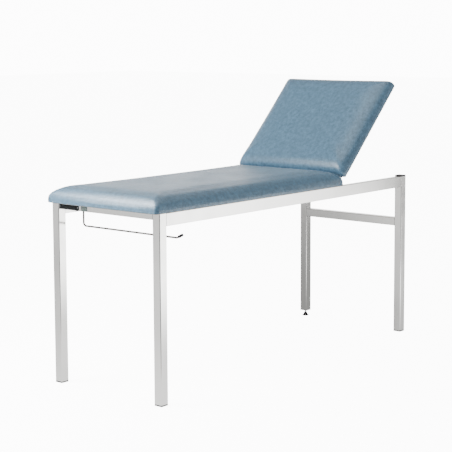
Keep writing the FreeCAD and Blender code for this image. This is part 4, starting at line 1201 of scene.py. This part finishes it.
class COUCH_OT_tip_cap(bpy.types.Operator):
    """Makes the soft rounded cap on the raised end of the rod"""
    bl_idname = "couch.tip_cap"
    bl_label = "Rod tip cap"

    def execute(self, context):
        look = context.scene.couch_detail
        points = [vertex.co.copy() for vertex in frame["nodes"]["rod_tip_cap"].data.vertices]
        slope = Vector((0, -math.cos(look.tip_slope), math.sin(look.tip_slope)))
        reaches = [point.dot(slope) for point in points]
        length = max(reaches) - min(reaches)
        crown, heel = 0.7 * look.tip_radius, 0.12 * look.tip_radius
        cap = drum("soft_tip_cap", look.tip_radius, (0, 0, 0), length, sides=36)
        round_edges(cap, level_edge(length, TINY), crown, segments=6)
        round_edges(cap, level_edge(0, TINY), heel, segments=3)
        cap.data.transform(turned_by(slope, end_ring(points, -slope)))
        smooth(cap, 40)
        dress(cap, black_plastic(), "roll_rod")
        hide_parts("rod_tip_cap")
        return {"FINISHED"}


class COUCH_OT_finishes(bpy.types.Operator):
    """Gives each piece of the frame, hinges and holder its finish"""
    bl_idname = "couch.finishes"
    bl_label = "Finishes"

    def execute(self, context):
        finishes = {
            "frame_steel": chrome(),
            "black_plastic": black_plastic(),
            "zinc_steel": zinc(),
            "hinge_steel": metal_material("hinge steel", colour("zinc"), 0.30, smudge=0.15,
                                          scratch=0.12, tint=0.2),
            "spring_steel": metal_material("spring steel", shade(colour("zinc"), 0.55), 0.35,
                                           smudge=0.1, scratch=0.1),
            "rod_steel": metal_material("rod steel", shade(colour("chrome"), 0.2), 0.5,
                                        smudge=0.1, scratch=0.1, metallic=0.3),
            "plywood": plywood_material("plywood", colour("plywood")),
            "blue_vinyl": vinyl(),
            "dark_plate": painted_material("dark plate", colour("dark_plate"), 0.5, 0.12),
            "grey_plate": painted_material("grey plate", colour("grey_plate"), 0.45),
        }
        for part in frame["record"]["subparts"]:
            node = frame["nodes"][part["node"]]
            node.data.materials.clear()
            node.data.materials.append(finishes[part["material_slot"]])
        return {"FINISHED"}


class COUCH_OT_studio(bpy.types.Operator):
    """Makes the pale floor, the soft lights and the camera"""
    bl_idname = "couch.studio"
    bl_label = "Studio"

    def execute(self, context):
        look = context.scene.couch_studio
        start()
        bpy.ops.mesh.primitive_plane_add(size=60)
        floor = finish_piece("studio_floor")
        floor.data.materials.append(floor_material("studio floor", look))
        world = bpy.data.worlds.new("studio room")
        world.use_nodes = True
        light_room(world.node_tree, look)
        context.scene.world = world
        for lamp in LAMPS:
            add_lamp(*lamp)
        add_camera(look)
        return {"FINISHED"}


class COUCH_PT_panel(bpy.types.Panel):
    """Steps that dress the couch"""
    bl_idname = "COUCH_PT_panel"
    bl_label = "Couch"
    bl_space_type = "VIEW_3D"
    bl_region_type = "UI"
    bl_category = "Couch"

    def draw(self, context):
        for step in STEPS:
            self.layout.operator(step.bl_idname)


STEPS = (COUCH_OT_cushions, COUCH_OT_hems, COUCH_OT_fasteners, COUCH_OT_leveller,
         COUCH_OT_welds, COUCH_OT_tip_cap, COUCH_OT_finishes, COUCH_OT_studio)
SETTINGS = {"couch_cushion": CushionSettings, "couch_detail": DetailSettings,
            "couch_finish": FinishSettings, "couch_studio": StudioSettings}
CLASSES = (*SETTINGS.values(), *STEPS, COUCH_PT_panel)


def register():
    for item in CLASSES:
        bpy.utils.register_class(item)
    for name, settings in SETTINGS.items():
        setattr(bpy.types.Scene, name, PointerProperty(type=settings))


def unregister():
    for name in SETTINGS:
        delattr(bpy.types.Scene, name)
    for item in reversed(CLASSES):
        bpy.utils.unregister_class(item)


def main():
    register()
    bpy.ops.couch.cushions()
    bpy.ops.couch.hems()
    bpy.ops.couch.fasteners()
    bpy.ops.couch.leveller()
    bpy.ops.couch.welds()
    bpy.ops.couch.tip_cap()
    bpy.ops.couch.finishes()
    bpy.ops.couch.studio()


if __name__ == "__main__":
    main()
